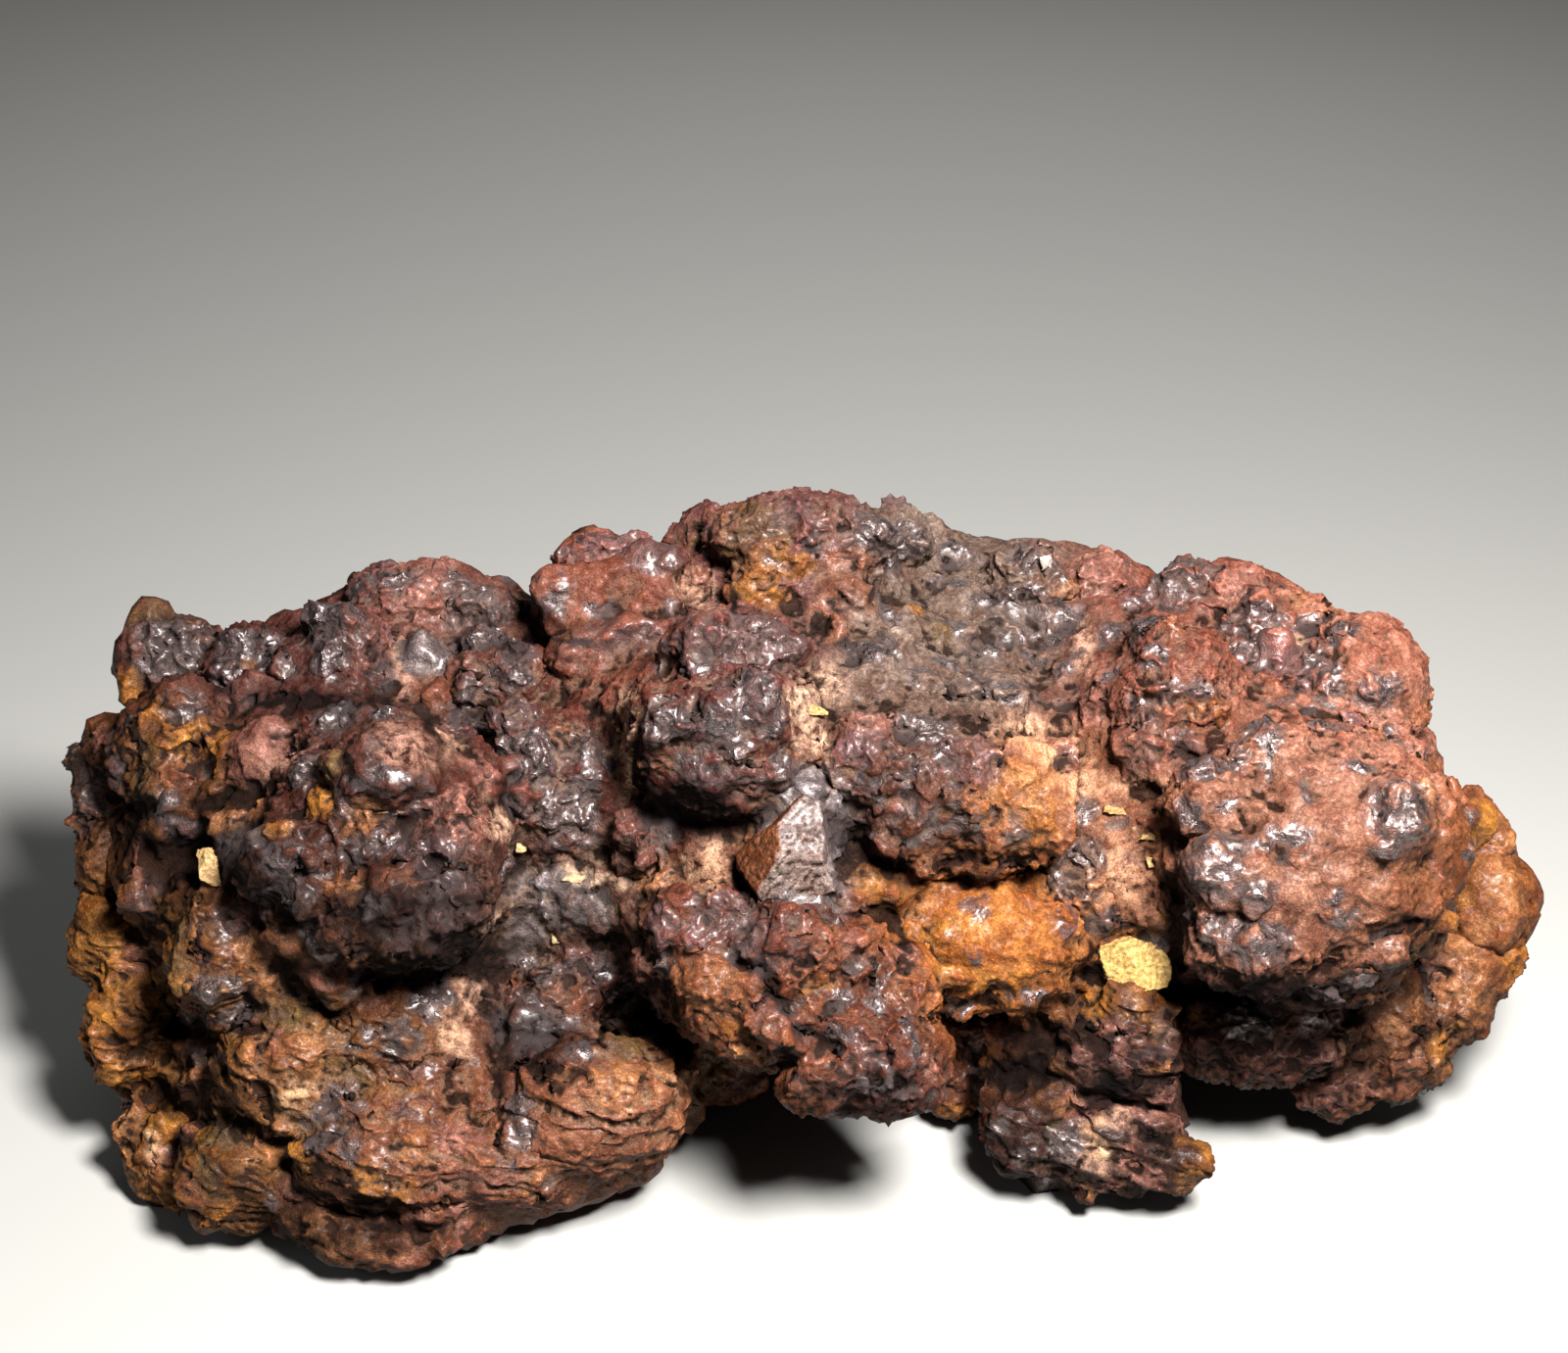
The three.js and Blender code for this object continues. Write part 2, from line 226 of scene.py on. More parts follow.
def setLump(model, centre, turn, half):
    lump = bpy.data.objects.new("lump", model.data.copy())
    lump.data.transform(Matrix.LocRotScale(centre, turn.to_quaternion(), half))
    scene.collection.objects.link(lump)
    return lump


seat = {
    "low": 0.4,  # a knob that stands less proud is sunk further
    "lowShare": 0.7,
    "leastShown": 0.1,
    "mostWidened": 1.25,
}


def placesFor(surface, entries, swell=1.0, knob=False):
    made = []
    for across, up, halfWidth, halfHeight, proud, *roll in entries:
        along = lookAt(across, up)
        place = surface.ray_cast(eye, along)[0]
        if place is None:
            continue
        half = Vector((halfWidth, halfHeight, min(halfWidth, halfHeight))) * perMillimetre(place) * swell
        sunk = 1 - proud
        if knob:  # a knob keeps its listed outline, however little of it stands out
            shown = max(proud * (seat["lowShare"] if proud < seat["low"] else 1), seat["leastShown"])
            half *= min(seat["mostWidened"], 1 / math.sqrt(1 - (1 - 2 * shown) ** 2))
            sunk = 1 - 2 * shown
        turn = rolled(roll[0] if roll else 0)
        made.append((place + along * half.z * sunk, turn, half, place))
    return made


def copyOf(thing, name):
    made = bpy.data.objects.new(name, thing.data.copy())
    scene.collection.objects.link(made)
    return made


scattering = {
    "tries": 40,  # for each lump
    "lowest": 2.5,  # mm above the floor
    "undermost": -0.75,  # how far down a face may look
    "smallness": 2.2,
    "sightSlack": 2,  # mm
    "grazing": -0.05,  # a seen face that looks further towards the eye is left to the lists
    "narrowest": 0.7,
    "height": 0.8,
    "turn": 3.1,
}


def scatter(surface, faces, values):  # lumps on the far side, the ends and the top
    chance = np.random.default_rng(values["seed"])
    made = []
    taken = np.empty((0, 4))
    for i in chance.permutation(len(faces))[:values["count"] * scattering["tries"]]:
        if len(made) == values["count"]:
            break
        spot, out = faces[i].center.copy(), faces[i].normal.copy()
        if spot.z < scattering["lowest"] * mm or out.z < scattering["undermost"]:
            continue
        growth = chance.random() ** scattering["smallness"]
        radius = (values["least"] + (values["most"] - values["least"]) * growth) * mm
        if len(taken):
            gaps = np.linalg.norm(taken[:, :3] - np.array(spot), axis=1)
            if (gaps < (taken[:, 3] + radius) * values["spacing"]).any():
                continue
        towards = -(spot - eye).normalized()
        if inSight(surface, [spot], scattering["sightSlack"])[0] and out.dot(towards) > scattering["grazing"]:
            continue
        taken = np.vstack([taken, [*spot, radius]])
        half = Vector((1, chance.uniform(scattering["narrowest"], 1), scattering["height"])) * radius
        roll = Matrix.Rotation(chance.uniform(0, scattering["turn"]), 3, "Z")
        turn = out.to_track_quat("Z", "Y").to_matrix() @ roll
        made.append((spot - out * half.z * (1 - 2 * values["proud"]), turn, half, spot))
    return made


def lumpModel(subdivisions, unevenness, seed):
    bpy.ops.mesh.primitive_ico_sphere_add(subdivisions=subdivisions, radius=1, location=(0, 0, 0))
    made = bpy.context.object
    bpy.ops.object.mode_set(mode="EDIT")
    bpy.ops.mesh.select_all(action="SELECT")
    bpy.ops.transform.vertex_random(offset=unevenness, uniform=1.0, normal=0.0, seed=seed)
    bpy.ops.object.mode_set(mode="OBJECT")
    return made


farLumps = {
    "boulders": {"count": 46, "least": 5, "most": 9.5, "spacing": 0.9, "proud": 0.16, "seed": 3},
    "knobs": {"count": 620, "least": 0.9, "most": 3.2, "spacing": 0.8, "proud": 0.26, "seed": 8},
}

boulderModel = lumpModel(4, 0.03, 1)
knobModels = [lumpModel(2, 0.22, seed) for seed in range(7)]
bpy.ops.mesh.primitive_cube_add(size=1.9, location=(0, 0, 0))
brick = bpy.context.object
useModifier(brick, "BEVEL", width=0.22, segments=1)

surface = surfaceOf(matrix)
boulderPlaces = {}
for name, entries in boulders.items():
    seated = [(*entry[:4], 0, *entry[4:]) for entry in entries]
    boulderPlaces[name] = placesFor(surface, seated, stone["swell"])
blockPlaces = placesFor(surface, blocks)
farPlaces = scatter(surface, matrix.data.polygons, farLumps["boulders"])

form = copyOf(matrix, "form")  # the whole stone without its knobs, to set them on
made = [setLump(brick, *spot[:3]) for spot in blockPlaces]
for places in (*boulderPlaces.values(), farPlaces):
    made += [setLump(boulderModel, *spot[:3]) for spot in places]
join(form, made)
resurface(form, stone["formVoxel"], stone["seamSmoothing"])
formSurface = surfaceOf(form)
print("form:", len(form.data.polygons), "faces")

pieces = {}
for name, places in boulderPlaces.items():
    made = [setLump(boulderModel, *spot[:3]) for spot in places]
    pieces[name] = made.pop()
    pieces[name].name = name + "Boulders"
    join(pieces[name], made)

spots = placesOf(matrix)  # the body draws back under the boulders
normals = normalsOf(matrix)
tuck = np.zeros(len(spots))
for places in boulderPlaces.values():
    for centre, turn, half, _ in places:
        reach = np.linalg.norm((spots - np.array(centre)) @ np.array(turn) / np.array(half), axis=1)
        tuck = np.maximum(tuck, np.clip((stone["tuckReach"] - reach) / stone["tuckFade"], 0, 1))
setPlaces(matrix, spots - normals * tuck[:, None] * stone["tuck"] * mm)
made = [setLump(brick, *spot[:3]) for spot in blockPlaces]
made += [setLump(boulderModel, *spot[:3]) for spot in farPlaces]
join(matrix, made)
pieces["matrix"] = matrix


def voxelOf(piece):
    return stone["matrixVoxel" if piece is matrix else "boulderVoxel"]


# knobs by their finish: across, up, half width, half height, share that stands proud, roll
knobs = {
    "silver": [
        (11.2, 2.4, 1.4, 2, 0.12), (13.6, -0.4, 1.7, 1, 0.12), (16.4, 1, 1.2, 1, 0.1),
        (19.6, 1.8, 1.3, 0.9, 0.1), (22.8, 3.6, 1.7, 1, 0.12), (25, 1.2, 1.4, 0.9, 0.1),
        (27.6, 3.6, 1.5, 0.9, 0.15), (28.8, 0.4, 1.3, 0.8, 0.1), (20.8, 7.4, 1.5, 1, 0.15),
        (24.4, 8.2, 1.7, 0.9, 0.12), (17, 9.4, 1.3, 0.9, 0.1), (10.4, 5.6, 0.9, 1.6, 0.1),
        (-56.8, 0.6, 1.8, 1.7, 0.5), (-55.5, 3, 2, 1.4, 0.2), (-52.2, 2.6, 2.6, 1.3, 0.3),
        (-52.4, 0.6, 1.7, 1.3, 0.4), (-50.3, 0.5, 1.5, 1.6, 0.2), (-46.1, 5.4, 3.1, 2.2, 0.3),
        (-46.6, 1.9, 2.2, 1.6, 0.5), (-42.2, 8.4, 1.6, 1.3, 0.2), (-39.5, 9.3, 2, 1.4, 0.2),
        (-33.5, 8.5, 2, 1.5, 0.1), (-30.6, 3.4, 2.2, 1.6, 0.2), (-27.8, 0.2, 2, 1.8, 0.4),
        (-40.4, -4.2, 1.2, 1, 0.2), (-66.6, -5.2, 0.5, 1.4, 0.3), (-61.4, -3.4, 1.8, 1.2, 0.3),
        (-62.6, -12.6, 1.2, 0.9, 0.4), (-59, -8.6, 0.6, 2.8, 0.3), (-62.4, -14.2, 1.6, 0.8, 0.3, -10),
        (-48.6, -9.6, 2.4, 1.8, 0.4), (-40.4, -10.6, 2.6, 1.3, 0.4), (-43.6, -11.2, 1.2, 1, 0.3),
        (-44.6, -13.4, 0.9, 1.5, 0.2), (-39.4, -14.4, 1.3, 1, 0.3), (-38.2, -18, 1.3, 0.9, 0.5),
        (-39.8, -16.6, 1.6, 1.1, 0.3), (-48.8, -18.2, 2.2, 0.8, 0.4, -45), (-51.3, -18.8, 1.5, 1.1, 0.3),
        (-53.6, -16.6, 1.8, 0.9, 0.3, 20), (-47, -27.4, 1.6, 2.6, 0.4, 35), (-31.8, -5.6, 2, 1.6, 0.25),
        (-28.4, -7.6, 1.8, 1.2, 0.2), (-25.2, -8.6, 1.6, 2.6, 0.3), (-20.6, -7.2, 0.9, 1.2, 0.3),
        (-27, -12.4, 1.5, 2.2, 0.4), (-24.6, -12.8, 1.3, 2.4, 0.3, 30), (-21.6, -13.2, 2.2, 2.8, 0.2),
        (-11.2, 7.2, 1.2, 0.8, 0.4, 30), (-11.6, 5.2, 1.1, 0.8, 0.3), (-23.4, 8, 1.6, 1.8, 0.05),
        (-19, 6.6, 1.4, 0.9, 0.1), (-6.8, 14.8, 1, 0.7, 0.2), (-1, 14.5, 1.2, 1, 0.15),
        (2.6, 14, 0.8, 1.4, 0.15, 30), (-2, 12.3, 2, 0.7, 0.1, -25), (8.8, 14, 2.8, 2, 0.3),
        (12, 13.6, 1.6, 1.6, 0.15), (8.8, 1.6, 2.2, 1.8, 0.3), (10.6, 11.4, 0.9, 1.2, 0.1),
        (-8.2, 1, 2.2, 1.2, 0.3), (-1.4, 3.4, 1.6, 0.6, 0.1, -20), (-11.8, -4.8, 2.6, 2.4, 0.4),
        (-6, -4, 2.2, 2.4, 0.3), (-8, -6.4, 1.2, 1, 0.3), (-6.8, -7, 1, 0.8, 0.3),
        (-4.6, -7.4, 1.3, 1, 0.3), (-2.6, -2.4, 2.6, 2.2, 0.2), (-1.2, -5.6, 1.2, 1, 0.3),
        (-9.4, -8.8, 1.4, 0.9, 0.3), (-1.6, -9.6, 2, 1.6, 0.3), (0.2, -22.6, 2.2, 1.4, 0.1),
        (12.6, 13.6, 1.8, 1.4, 0.2), (17, 12.2, 1.7, 1.3, 0.3), (18.9, 12.2, 0.9, 1.1, 0.4),
        (24.4, 12, 1.2, 1.4, 0.1), (27.8, 10.8, 0.9, 0.9, 0.2), (9.8, 6.6, 0.5, 2.6, 0.2, -5),
        (11.4, 2.6, 0.5, 2.2, 0.2, -40), (28.4, 5.6, 2.2, 1.5, 0.3), (26.6, 4, 2, 1, 0.1),
        (29.8, 2.2, 1, 0.7, 0.4), (17.4, 3.8, 1.9, 1.4, 0.2), (21, 2, 1, 1, 0.3),
        (19.2, 1.2, 1.2, 0.9, 0.1), (25.6, 0.8, 1.2, 0.6, 0.3, 30), (12.4, -0.4, 1.4, 0.8, 0.2),
        (22.4, -2.6, 2, 1.9, 0.4), (14.2, -5.6, 2, 1.6, 0.35), (16.4, -8, 1, 0.8, 0.3),
        (9, -10, 0.8, 1.2, 0.35), (12, -9.2, 1.4, 1, 0.35), (14.2, -9.6, 0.9, 1.1, 0.35),
        (11.6, -11.2, 1.3, 1, 0.35), (9.4, -12.2, 0.8, 1, 0.3), (7.8, -10.8, 0.6, 0.8, 0.2),
        (17.2, -12.2, 1.6, 0.7, 0.3, -60), (19.6, -13.2, 1.6, 0.9, 0.3, -25), (16.4, -16, 2, 1, 0.3),
        (18.4, -15.2, 1.4, 1, 0.3), (19.6, -16.4, 0.9, 0.7, 0.2), (11.6, -15.2, 1.2, 0.7, 0.3, -30),
        (13.6, -16.4, 1.4, 1, 0.2), (10, -16.6, 2.4, 0.5, 0.4, -40), (24.9, -32.4, 1.3, 0.9, 0.3),
        (29, -32, 0.8, 0.7, 0.3), (17.2, -33.2, 0.5, 1.4, 0.2), (18.5, -33.8, 0.5, 1, 0.2),
        (18.6, -37.8, 1.8, 0.4, 0.2), (19.6, -40.2, 0.8, 0.8, 0.2), (14.3, -44, 1.4, 0.9, 0.2),
        (12.7, -37.7, 0.9, 2, 0.3), (13.8, -39.5, 0.5, 1.2, 0.3, 20), (10.7, -40.6, 0.7, 1.4, 0.2, 20),
        (8.6, -41.9, 1.3, 1.1, 0.35), (6.7, -41.8, 0.4, 1.6, 0.3, 15), (10.1, -31.6, 2.2, 0.6, 0.4, 65),
        (30.6, -22.4, 1.3, 0.8, 0.3), (35.8, -18.4, 0.7, 0.6, 0.3), (37.2, 4.4, 2.2, 1.8, 0.35),
        (33.8, 4.2, 1.5, 1.4, 0.3), (38.6, 6.4, 1.6, 0.8, 0.2), (37.6, 1.6, 1, 1.4, 0.3),
        (46.2, 2, 2, 1.6, 0.2), (48.4, 5.6, 1.8, 2.2, 0.2), (33.6, -0.6, 0.9, 1.2, 0.2),
        (38.8, -1.6, 1.6, 1, 0.4), (42.2, -1.6, 1.8, 0.9, 0.4), (36.8, -3.2, 1.6, 1, 0.2),
        (46.6, -8.4, 1.2, 1.4, 0.2), (50, -6.4, 1, 0.9, 0.3), (49.6, -8.6, 0.6, 1.4, 0.2),
        (42.8, -10.2, 1.6, 1.2, 0.1), (54, 1.8, 1.4, 1, 0.3), (55.8, -0.6, 1.2, 1.6, 0.2),
        (55.5, -4.9, 1.8, 0.9, 0.4), (54, 5, 1.6, 0.9, 0.1), (57, 4.2, 1.4, 1.2, 0.15),
        (60.4, -1.6, 2, 1.5, 0.35), (61.4, -5.6, 1.6, 1, 0.2), (69.8, -14.4, 1, 0.9, 0.3),
        (69.6, -17.8, 0.8, 0.7, 0.2), (43, -10, 2, 1.4, 0.1), (41.6, -14.2, 1.2, 1.6, 0.2),
        (45, -13.2, 1, 0.8, 0.2), (44, -19.8, 2.6, 2.6, 0.15), (42, -23.2, 1.2, 1.2, 0.3),
        (43.6, -24.6, 1, 0.6, 0.2), (48, -22.6, 1.9, 1.9, 0.4), (48.4, -27.2, 2.4, 1.8, 0.25),
        (44.2, -26.4, 1.8, 1.4, 0.1), (51.6, -16.2, 2, 0.9, 0.3), (49, -17.2, 1.2, 0.7, 0.2),
        (53, -12, 0.9, 0.9, 0.2), (62.6, -14.4, 2.4, 3, 0.25), (63.4, -12.2, 1.8, 0.7, 0.2, -25),
        (61.8, -17.6, 1.4, 0.9, 0.2), (58.6, -9.6, 1.6, 0.8, 0.1, -25), (55.8, -22.6, 0.9, 0.7, 0.2),
        (56.6, -24.6, 1.4, 1, 0.1), (46.6, -34.4, 1.2, 1.6, 0.2), (46.4, -36, 1.4, 0.7, 0.25),
        (48.6, -35.6, 1.2, 1, 0.2), (52.8, -34.6, 2, 1.4, 0.2), (55, -32, 1.6, 1.4, 0.2),
        (58.6, -30.6, 1.4, 1.2, 0.3), (35.2, -33, 0.8, 0.5, 0.1), (38.4, -45.9, 0.5, 0.5, 0.3),
        (22.7, -45.6, 1.8, 1.4, 0.2), (24.1, -48.8, 1, 1.4, 0.3, -30), (29.1, -47.8, 1.8, 1.7, 0.35),
        (26.8, -51.3, 1.4, 1.4, 0.2), (-7.6, -22.8, 1.4, 0.5, 0.3, 20), (-4.2, -25, 1.4, 1.1, 0.3),
        (-6.8, -26, 0.9, 0.8, 0.4), (-5, -28.6, 0.7, 0.7, 0.3), (1.7, -27.4, 0.5, 1.6, 0.15),
        (-4.2, -32, 1.4, 0.4, 0.3, 20), (6.8, -29.8, 1.8, 1.2, 0.3), (2.8, -32.6, 1.6, 0.4, 0.3, 15),
        (5.6, -33.4, 1.2, 1, 0.2), (6, -36.6, 1.6, 0.8, 0.2), (1.7, -40.8, 0.3, 1.2, 0.3),
        (-24.4, -30.4, 1.5, 1.2, 0.4), (-18.5, -30.2, 1.5, 1.5, 0.45), (-26.6, -29.4, 1.2, 0.9, 0.2),
        (-21.8, -30, 0.7, 1, 0.2), (-25, -33.6, 1.6, 0.8, 0.3, -25), (-24.4, -35, 1.5, 0.8, 0.3, -20),
        (-20.8, -38.8, 1.3, 1.4, 0.2), (-12.2, -29.8, 1.2, 1.5, 0.35), (-10.6, -29.4, 0.7, 0.4, 0.3),
        (-26.4, -43.6, 1.8, 1.2, 0.2), (-26.3, -46.7, 1.6, 1.2, 0.2), (-56.8, -25.6, 2.4, 1.6, 0.2, 30),
        (-57.8, -31.8, 2.2, 1.6, 0.35), (-56.4, -34, 2.2, 1.2, 0.2), (-49.2, -32.2, 1.2, 0.5, 0.3, -30),
        (-44.6, -31.8, 2, 0.9, 0.2, 30), (-38.6, -38.8, 1.4, 0.5, 0.3, 10), (-42.8, -37.4, 1.3, 1, 0.2),
        (-36.8, -33.4, 1.6, 1.6, 0.1), (-46.2, -43, 2.4, 1, 0.2, 25), (-45.6, -44.6, 2.6, 0.7, 0.25, 20),
        (-46.4, -46.9, 2, 0.9, 0.2, 25), (-44.2, -48.2, 0.7, 1.2, 0.2), (-40.6, -50.8, 0.3, 1.2, 0.2),
        (-24.2, -51.8, 0.8, 0.9, 0.2), (-30.2, -49.2, 0.5, 0.5, 0.3), (-28.8, -49.5, 0.5, 0.5, 0.3),
        (-27.5, -49.8, 0.5, 0.5, 0.3), (-51.7, -44.2, 0.5, 0.5, 0.4), (-50.8, -43.2, 0.6, 0.7, 0.3),
        (-48.6, -46, 0.7, 0.6, 0.2), (-52.2, -53.3, 0.8, 0.7, 0.2),
    ],
    "dark": [
        (-31.8, -2, 1.9, 2, 0.4), (-45.5, -4.6, 2, 1.9, 0.2), (-42.2, -8, 1.8, 1.4, 0.2),
        (-37.4, -11.4, 1.3, 1.2, 0.2), (-43, -18, 1.8, 1.3, 0.2), (-49.5, -22, 2.2, 2.4, 0.2),
        (-41.8, -23.4, 2, 1.1, 0.3), (-28, 10, 1.6, 0.8, 0.2), (18.8, -2.2, 1.9, 1.9, 0.3),
        (12.4, -5.2, 2, 1.7, 0.4), (32.2, -24.6, 1.6, 1.4, 0.1), (31.8, -12.2, 1, 0.7, 0.2),
        (52.8, -18.8, 1.8, 0.7, 0.1, -10), (33, -39.2, 2.6, 0.5, 0.1, -55), (4.6, -25, 1.2, 0.7, 0.2),
        (-25.2, -36.6, 3.6, 2.9, 0.3), (-59.6, -34.4, 1.6, 1.4, 0.1), (-58.4, -38.8, 1.8, 1.2, 0.1),
        (-39.6, -37.2, 2, 1.5, 0.35), (-34.6, -33, 1, 1.6, 0.2),
    ],
    "maroon": [
        (-26.9, 1.8, 1.5, 1.2, 0.2), (-67.6, -9.2, 1.1, 2.2, 0.3), (-70.6, -12.2, 1.6, 2.4, 0.2),
        (-60.4, -15.6, 2.2, 1, 0.2), (-34.6, -17.6, 2, 1.6, 0.3), (-34.6, -21.8, 2.6, 2, 0.2),
        (-27.4, -4.8, 2.4, 2, 0.3, -30), (-22, -16, 2.6, 1.3, 0.3, 15), (-13.2, 12.2, 2.8, 1.8, 0.2),
        (-16.2, 4.2, 3.5, 1.6, 0.2, 10), (-7.6, 3.6, 3, 2.2, 0.2), (-2.2, 3, 3.8, 2.6, 0.2),
        (-6.6, -9.4, 3.4, 1.5, 0.1), (28.4, -8.6, 1.4, 0.9, 0.3), (19.6, -23.6, 1.2, 1, 0.2),
        (12.9, -39.8, 0.7, 1, 0.2), (12, -42.8, 1.4, 0.9, 0.2), (37.4, 7.6, 2.2, 1.4, 0.1),
        (-6.8, -23.6, 2.6, 1.5, 0.3, 15), (-2, -27, 2.8, 2.6, 0.2), (-17, -32.6, 1.8, 1.4, 0.3),
        (-38.2, -44.8, 1.8, 1.2, 0.1),
    ],
    "red": [
        (-66, 2.9, 1.1, 1.1, 0.4), (-53.4, -1.9, 2.6, 1.6, 0.2), (-43.2, 3.6, 2.4, 1.8, 0.2),
        (-42.8, 0.9, 2, 1.6, 0.2), (-44.6, -0.3, 1.3, 1.2, 0.2), (-31.4, 0.8, 1.6, 1.1, 0.2),
        (-65, -22.8, 2.2, 2, 0.2), (-37.2, -13.6, 1.8, 1.2, 0.2), (-44.3, -26.2, 3, 1.6, 0.2),
        (-36, -25.4, 2.6, 1.3, 0.3), (-32.4, -24.4, 1.8, 1.2, 0.2), (-38.6, -27.4, 2.2, 1.2, 0.3),
        (-29.4, -8.8, 2.2, 1, 0.1), (-15.2, -15.4, 2.2, 3, 0.4), (-14.4, -18, 1.6, 1.8, 0.3),
        (-21, 2.8, 3, 1.6, 0.1), (-9.6, 14.2, 1.8, 1.1, 0.2), (4.3, 15.6, 0.9, 1.6, 0.1),
        (-2.8, -6.4, 1.4, 1.2, 0.2), (-3.2, -11.6, 1.8, 1.8, 0.2), (26, 12.8, 1.2, 1.2, 0.1),
        (27.8, -2.6, 1.8, 1.4, 0.2), (13, -28.2, 0.9, 0.8, 0.2), (20.5, -36.4, 4.6, 2, 0.2),
        (7.6, -38.6, 2, 1.6, 0.2), (37.2, -7.4, 2.8, 2.6, 0.2), (41.9, -7.2, 1.1, 0.8, 0.2),
        (61.2, -27.6, 1.6, 1.7, 0.3), (55.6, -34.2, 1.2, 1.6, 0.1), (53.8, -43.6, 1.2, 0.8, 0.1),
        (50.5, -38.7, 0.8, 0.6, 0.2), (47.2, -40.2, 0.7, 0.4, 0.1), (36.9, -38.8, 1.1, 0.9, 0.3),
        (38.8, -38.2, 1, 0.8, 0.1), (29, -51.6, 1, 1.4, 0.1), (-6.6, -27.4, 1.8, 1.3, 0.2),
        (0.6, -26.6, 2.4, 2.4, 0.2), (-0.6, -35.8, 3, 1.8, 0.3, -40), (-3.6, -40.6, 1.9, 1.3, 0.15),
        (-20.8, -28.6, 1.5, 1.8, 0.2), (-27.4, -32.6, 0.9, 1.6, 0.2), (-12.2, -31.8, 0.7, 0.6, 0.3),
        (-57.6, -28.2, 1.9, 1.3, 0.1), (-38, -40.4, 2.2, 1, 0.1), (-45.4, -60.6, 1.4, 0.5, 0.1),
    ],
    "rust": [
        (-42, 6.2, 2.2, 0.8, 0.1, -25), (-35.5, -3, 1.5, 2.2, 0.1), (-71, -15, 1.8, 1, 0.2),
        (-72.6, -16.1, 0.9, 0.6, 0.2), (-61.6, -10.2, 2.2, 2, 0.2), (-39, -21.4, 1.8, 1.2, 0.3),
        (-50.8, -26.6, 1.8, 1.1, 0.2), (-22.4, -6.2, 1.6, 0.9, 0.1), (-26.4, -14.2, 1.6, 0.9, 0.2),
        (-8.2, 10.2, 1.8, 1.4, 0.15), (6.6, 11.4, 2.4, 1.3, 0.2), (6.6, 8.4, 2.4, 1.8, 0.2, -30),
        (4.6, 6.6, 1.6, 1.6, 0.2), (5.4, 3.2, 1.2, 2.6, 0.2), (-8.4, -3.2, 1.4, 1.6, 0.2),
        (-12.6, -8.6, 1.8, 1, 0.2), (1.4, -7.6, 1.8, 0.9, 0.1), (6.6, -14.2, 1.4, 1, 0.2),
        (14.8, -11.4, 1.1, 0.9, 0.2), (14.8, -18.8, 1.9, 1.8, 0.3), (20.8, -18.6, 2.6, 1.8, 0.2),
        (22.2, -19.8, 1.4, 0.9, 0.1), (21.6, -15.6, 1.6, 2, 0.2), (28, -14.6, 1.4, 2.6, 0.3),
        (25.6, -18.6, 1, 0.7, 0.1), (6.6, -22.6, 1.6, 0.9, 0.2), (14.8, -32.5, 1, 0.7, 0.2),
        (22.4, -36.6, 1.6, 1.2, 0.05), (17.6, -40.3, 1.8, 1.8, 0.3, -35), (12.4, -32.6, 2, 2.6, 0.1),
        (39.8, 3.4, 1.2, 2.4, 0), (40.6, -4.4, 3.4, 1.8, 0.1), (50, -1.4, 1.8, 1.2, 0.2),
        (66, -4, 1.2, 2, 0.2), (66.4, -11.6, 0.8, 1.4, 0.3), (67.4, -14, 0.9, 1.6, 0.3),
        (67.3, -17, 0.9, 1.8, 0.3), (66.6, -20.4, 0.9, 1.8, 0.3), (66, -23, 0.9, 1.3, 0.3),
        (65, -24.2, 0.9, 0.8, 0.3), (68.6, -12.5, 0.7, 2.2, 0.2, 15), (52.1, -28.5, 1.6, 1, 0.1),
        (54.2, -28.4, 1, 1.4, 0.1), (41.2, -28.6, 1.3, 1.6, 0.2), (43.3, -33.7, 1.6, 1.2, 0.2),
        (50, -33.8, 1.4, 0.8, 0.1), (62.8, -39.4, 1.8, 1.6, 0.2), (61.6, -41.6, 2.6, 1, 0.2),
        (36.2, -36.3, 1, 0.9, 0.2), (3.4, -27.8, 1.6, 2.2, 0.15), (-5.6, -33.4, 2, 1, 0.1),
        (-8.4, -35.8, 1.8, 0.6, 0.3, -40), (3, -33.8, 1.6, 1.3, 0.25), (4, -41.4, 2.8, 2.4, 0.3),
        (-27.4, -30.8, 0.9, 0.9, 0.2), (-22.4, -32.8, 2.2, 1.4, 0.2), (-18.8, -35.6, 2.4, 0.7, 0.3),
        (-59.4, -37.6, 2.4, 1, 0.2, 20), (-42, -33.2, 2, 1.4, 0.1), (-41.6, -47, 2, 2.6, 0.1),
        (-59.6, -52.2, 1.6, 1.6, 0.1),
    ],
    "mauve": [
        (-18.2, 12.8, 4.4, 1.6, 0), (1.2, 16.3, 1.6, 1.3, 0.15), (8, -7.4, 2, 1.4, 0.1),
        (18.8, -9, 2.8, 2, 0.3), (28.4, -25.2, 1, 1.4, 0.1), (50.4, 1.6, 3.4, 3, 0),
        (52.4, -0.6, 2.4, 1.6, 0.2), (57.6, -5, 1, 1.3, 0.2), (-9, -26, 1.4, 1.4, 0.2),
        (-12, -25.4, 1.5, 1.8, 0.2),
    ],
    "grey": [
        (-62.3, 3.6, 3.2, 2.2, 0.3, 10), (-62.5, 0.9, 2.8, 1.8, 0.3), (-36.7, 1.4, 2.1, 2.5, 0.1),
        (-41, 0.4, 1.1, 2, 0.1), (-31.2, 6.2, 2.6, 2.4, 0.3), (-20.4, -9.6, 2.4, 2.6, 0.2),
        (-19.6, -17, 1.4, 1, 0.4), (-12.8, -15.4, 1.6, 2.2, 0.1), (-23.6, -23.4, 1.4, 1.8, 0.1),
        (-20.8, -23.4, 1.2, 1.8, 0.1), (-18.4, -23.6, 1.4, 1.8, 0.1), (-26.4, -26.4, 2, 1.4, 0.1),
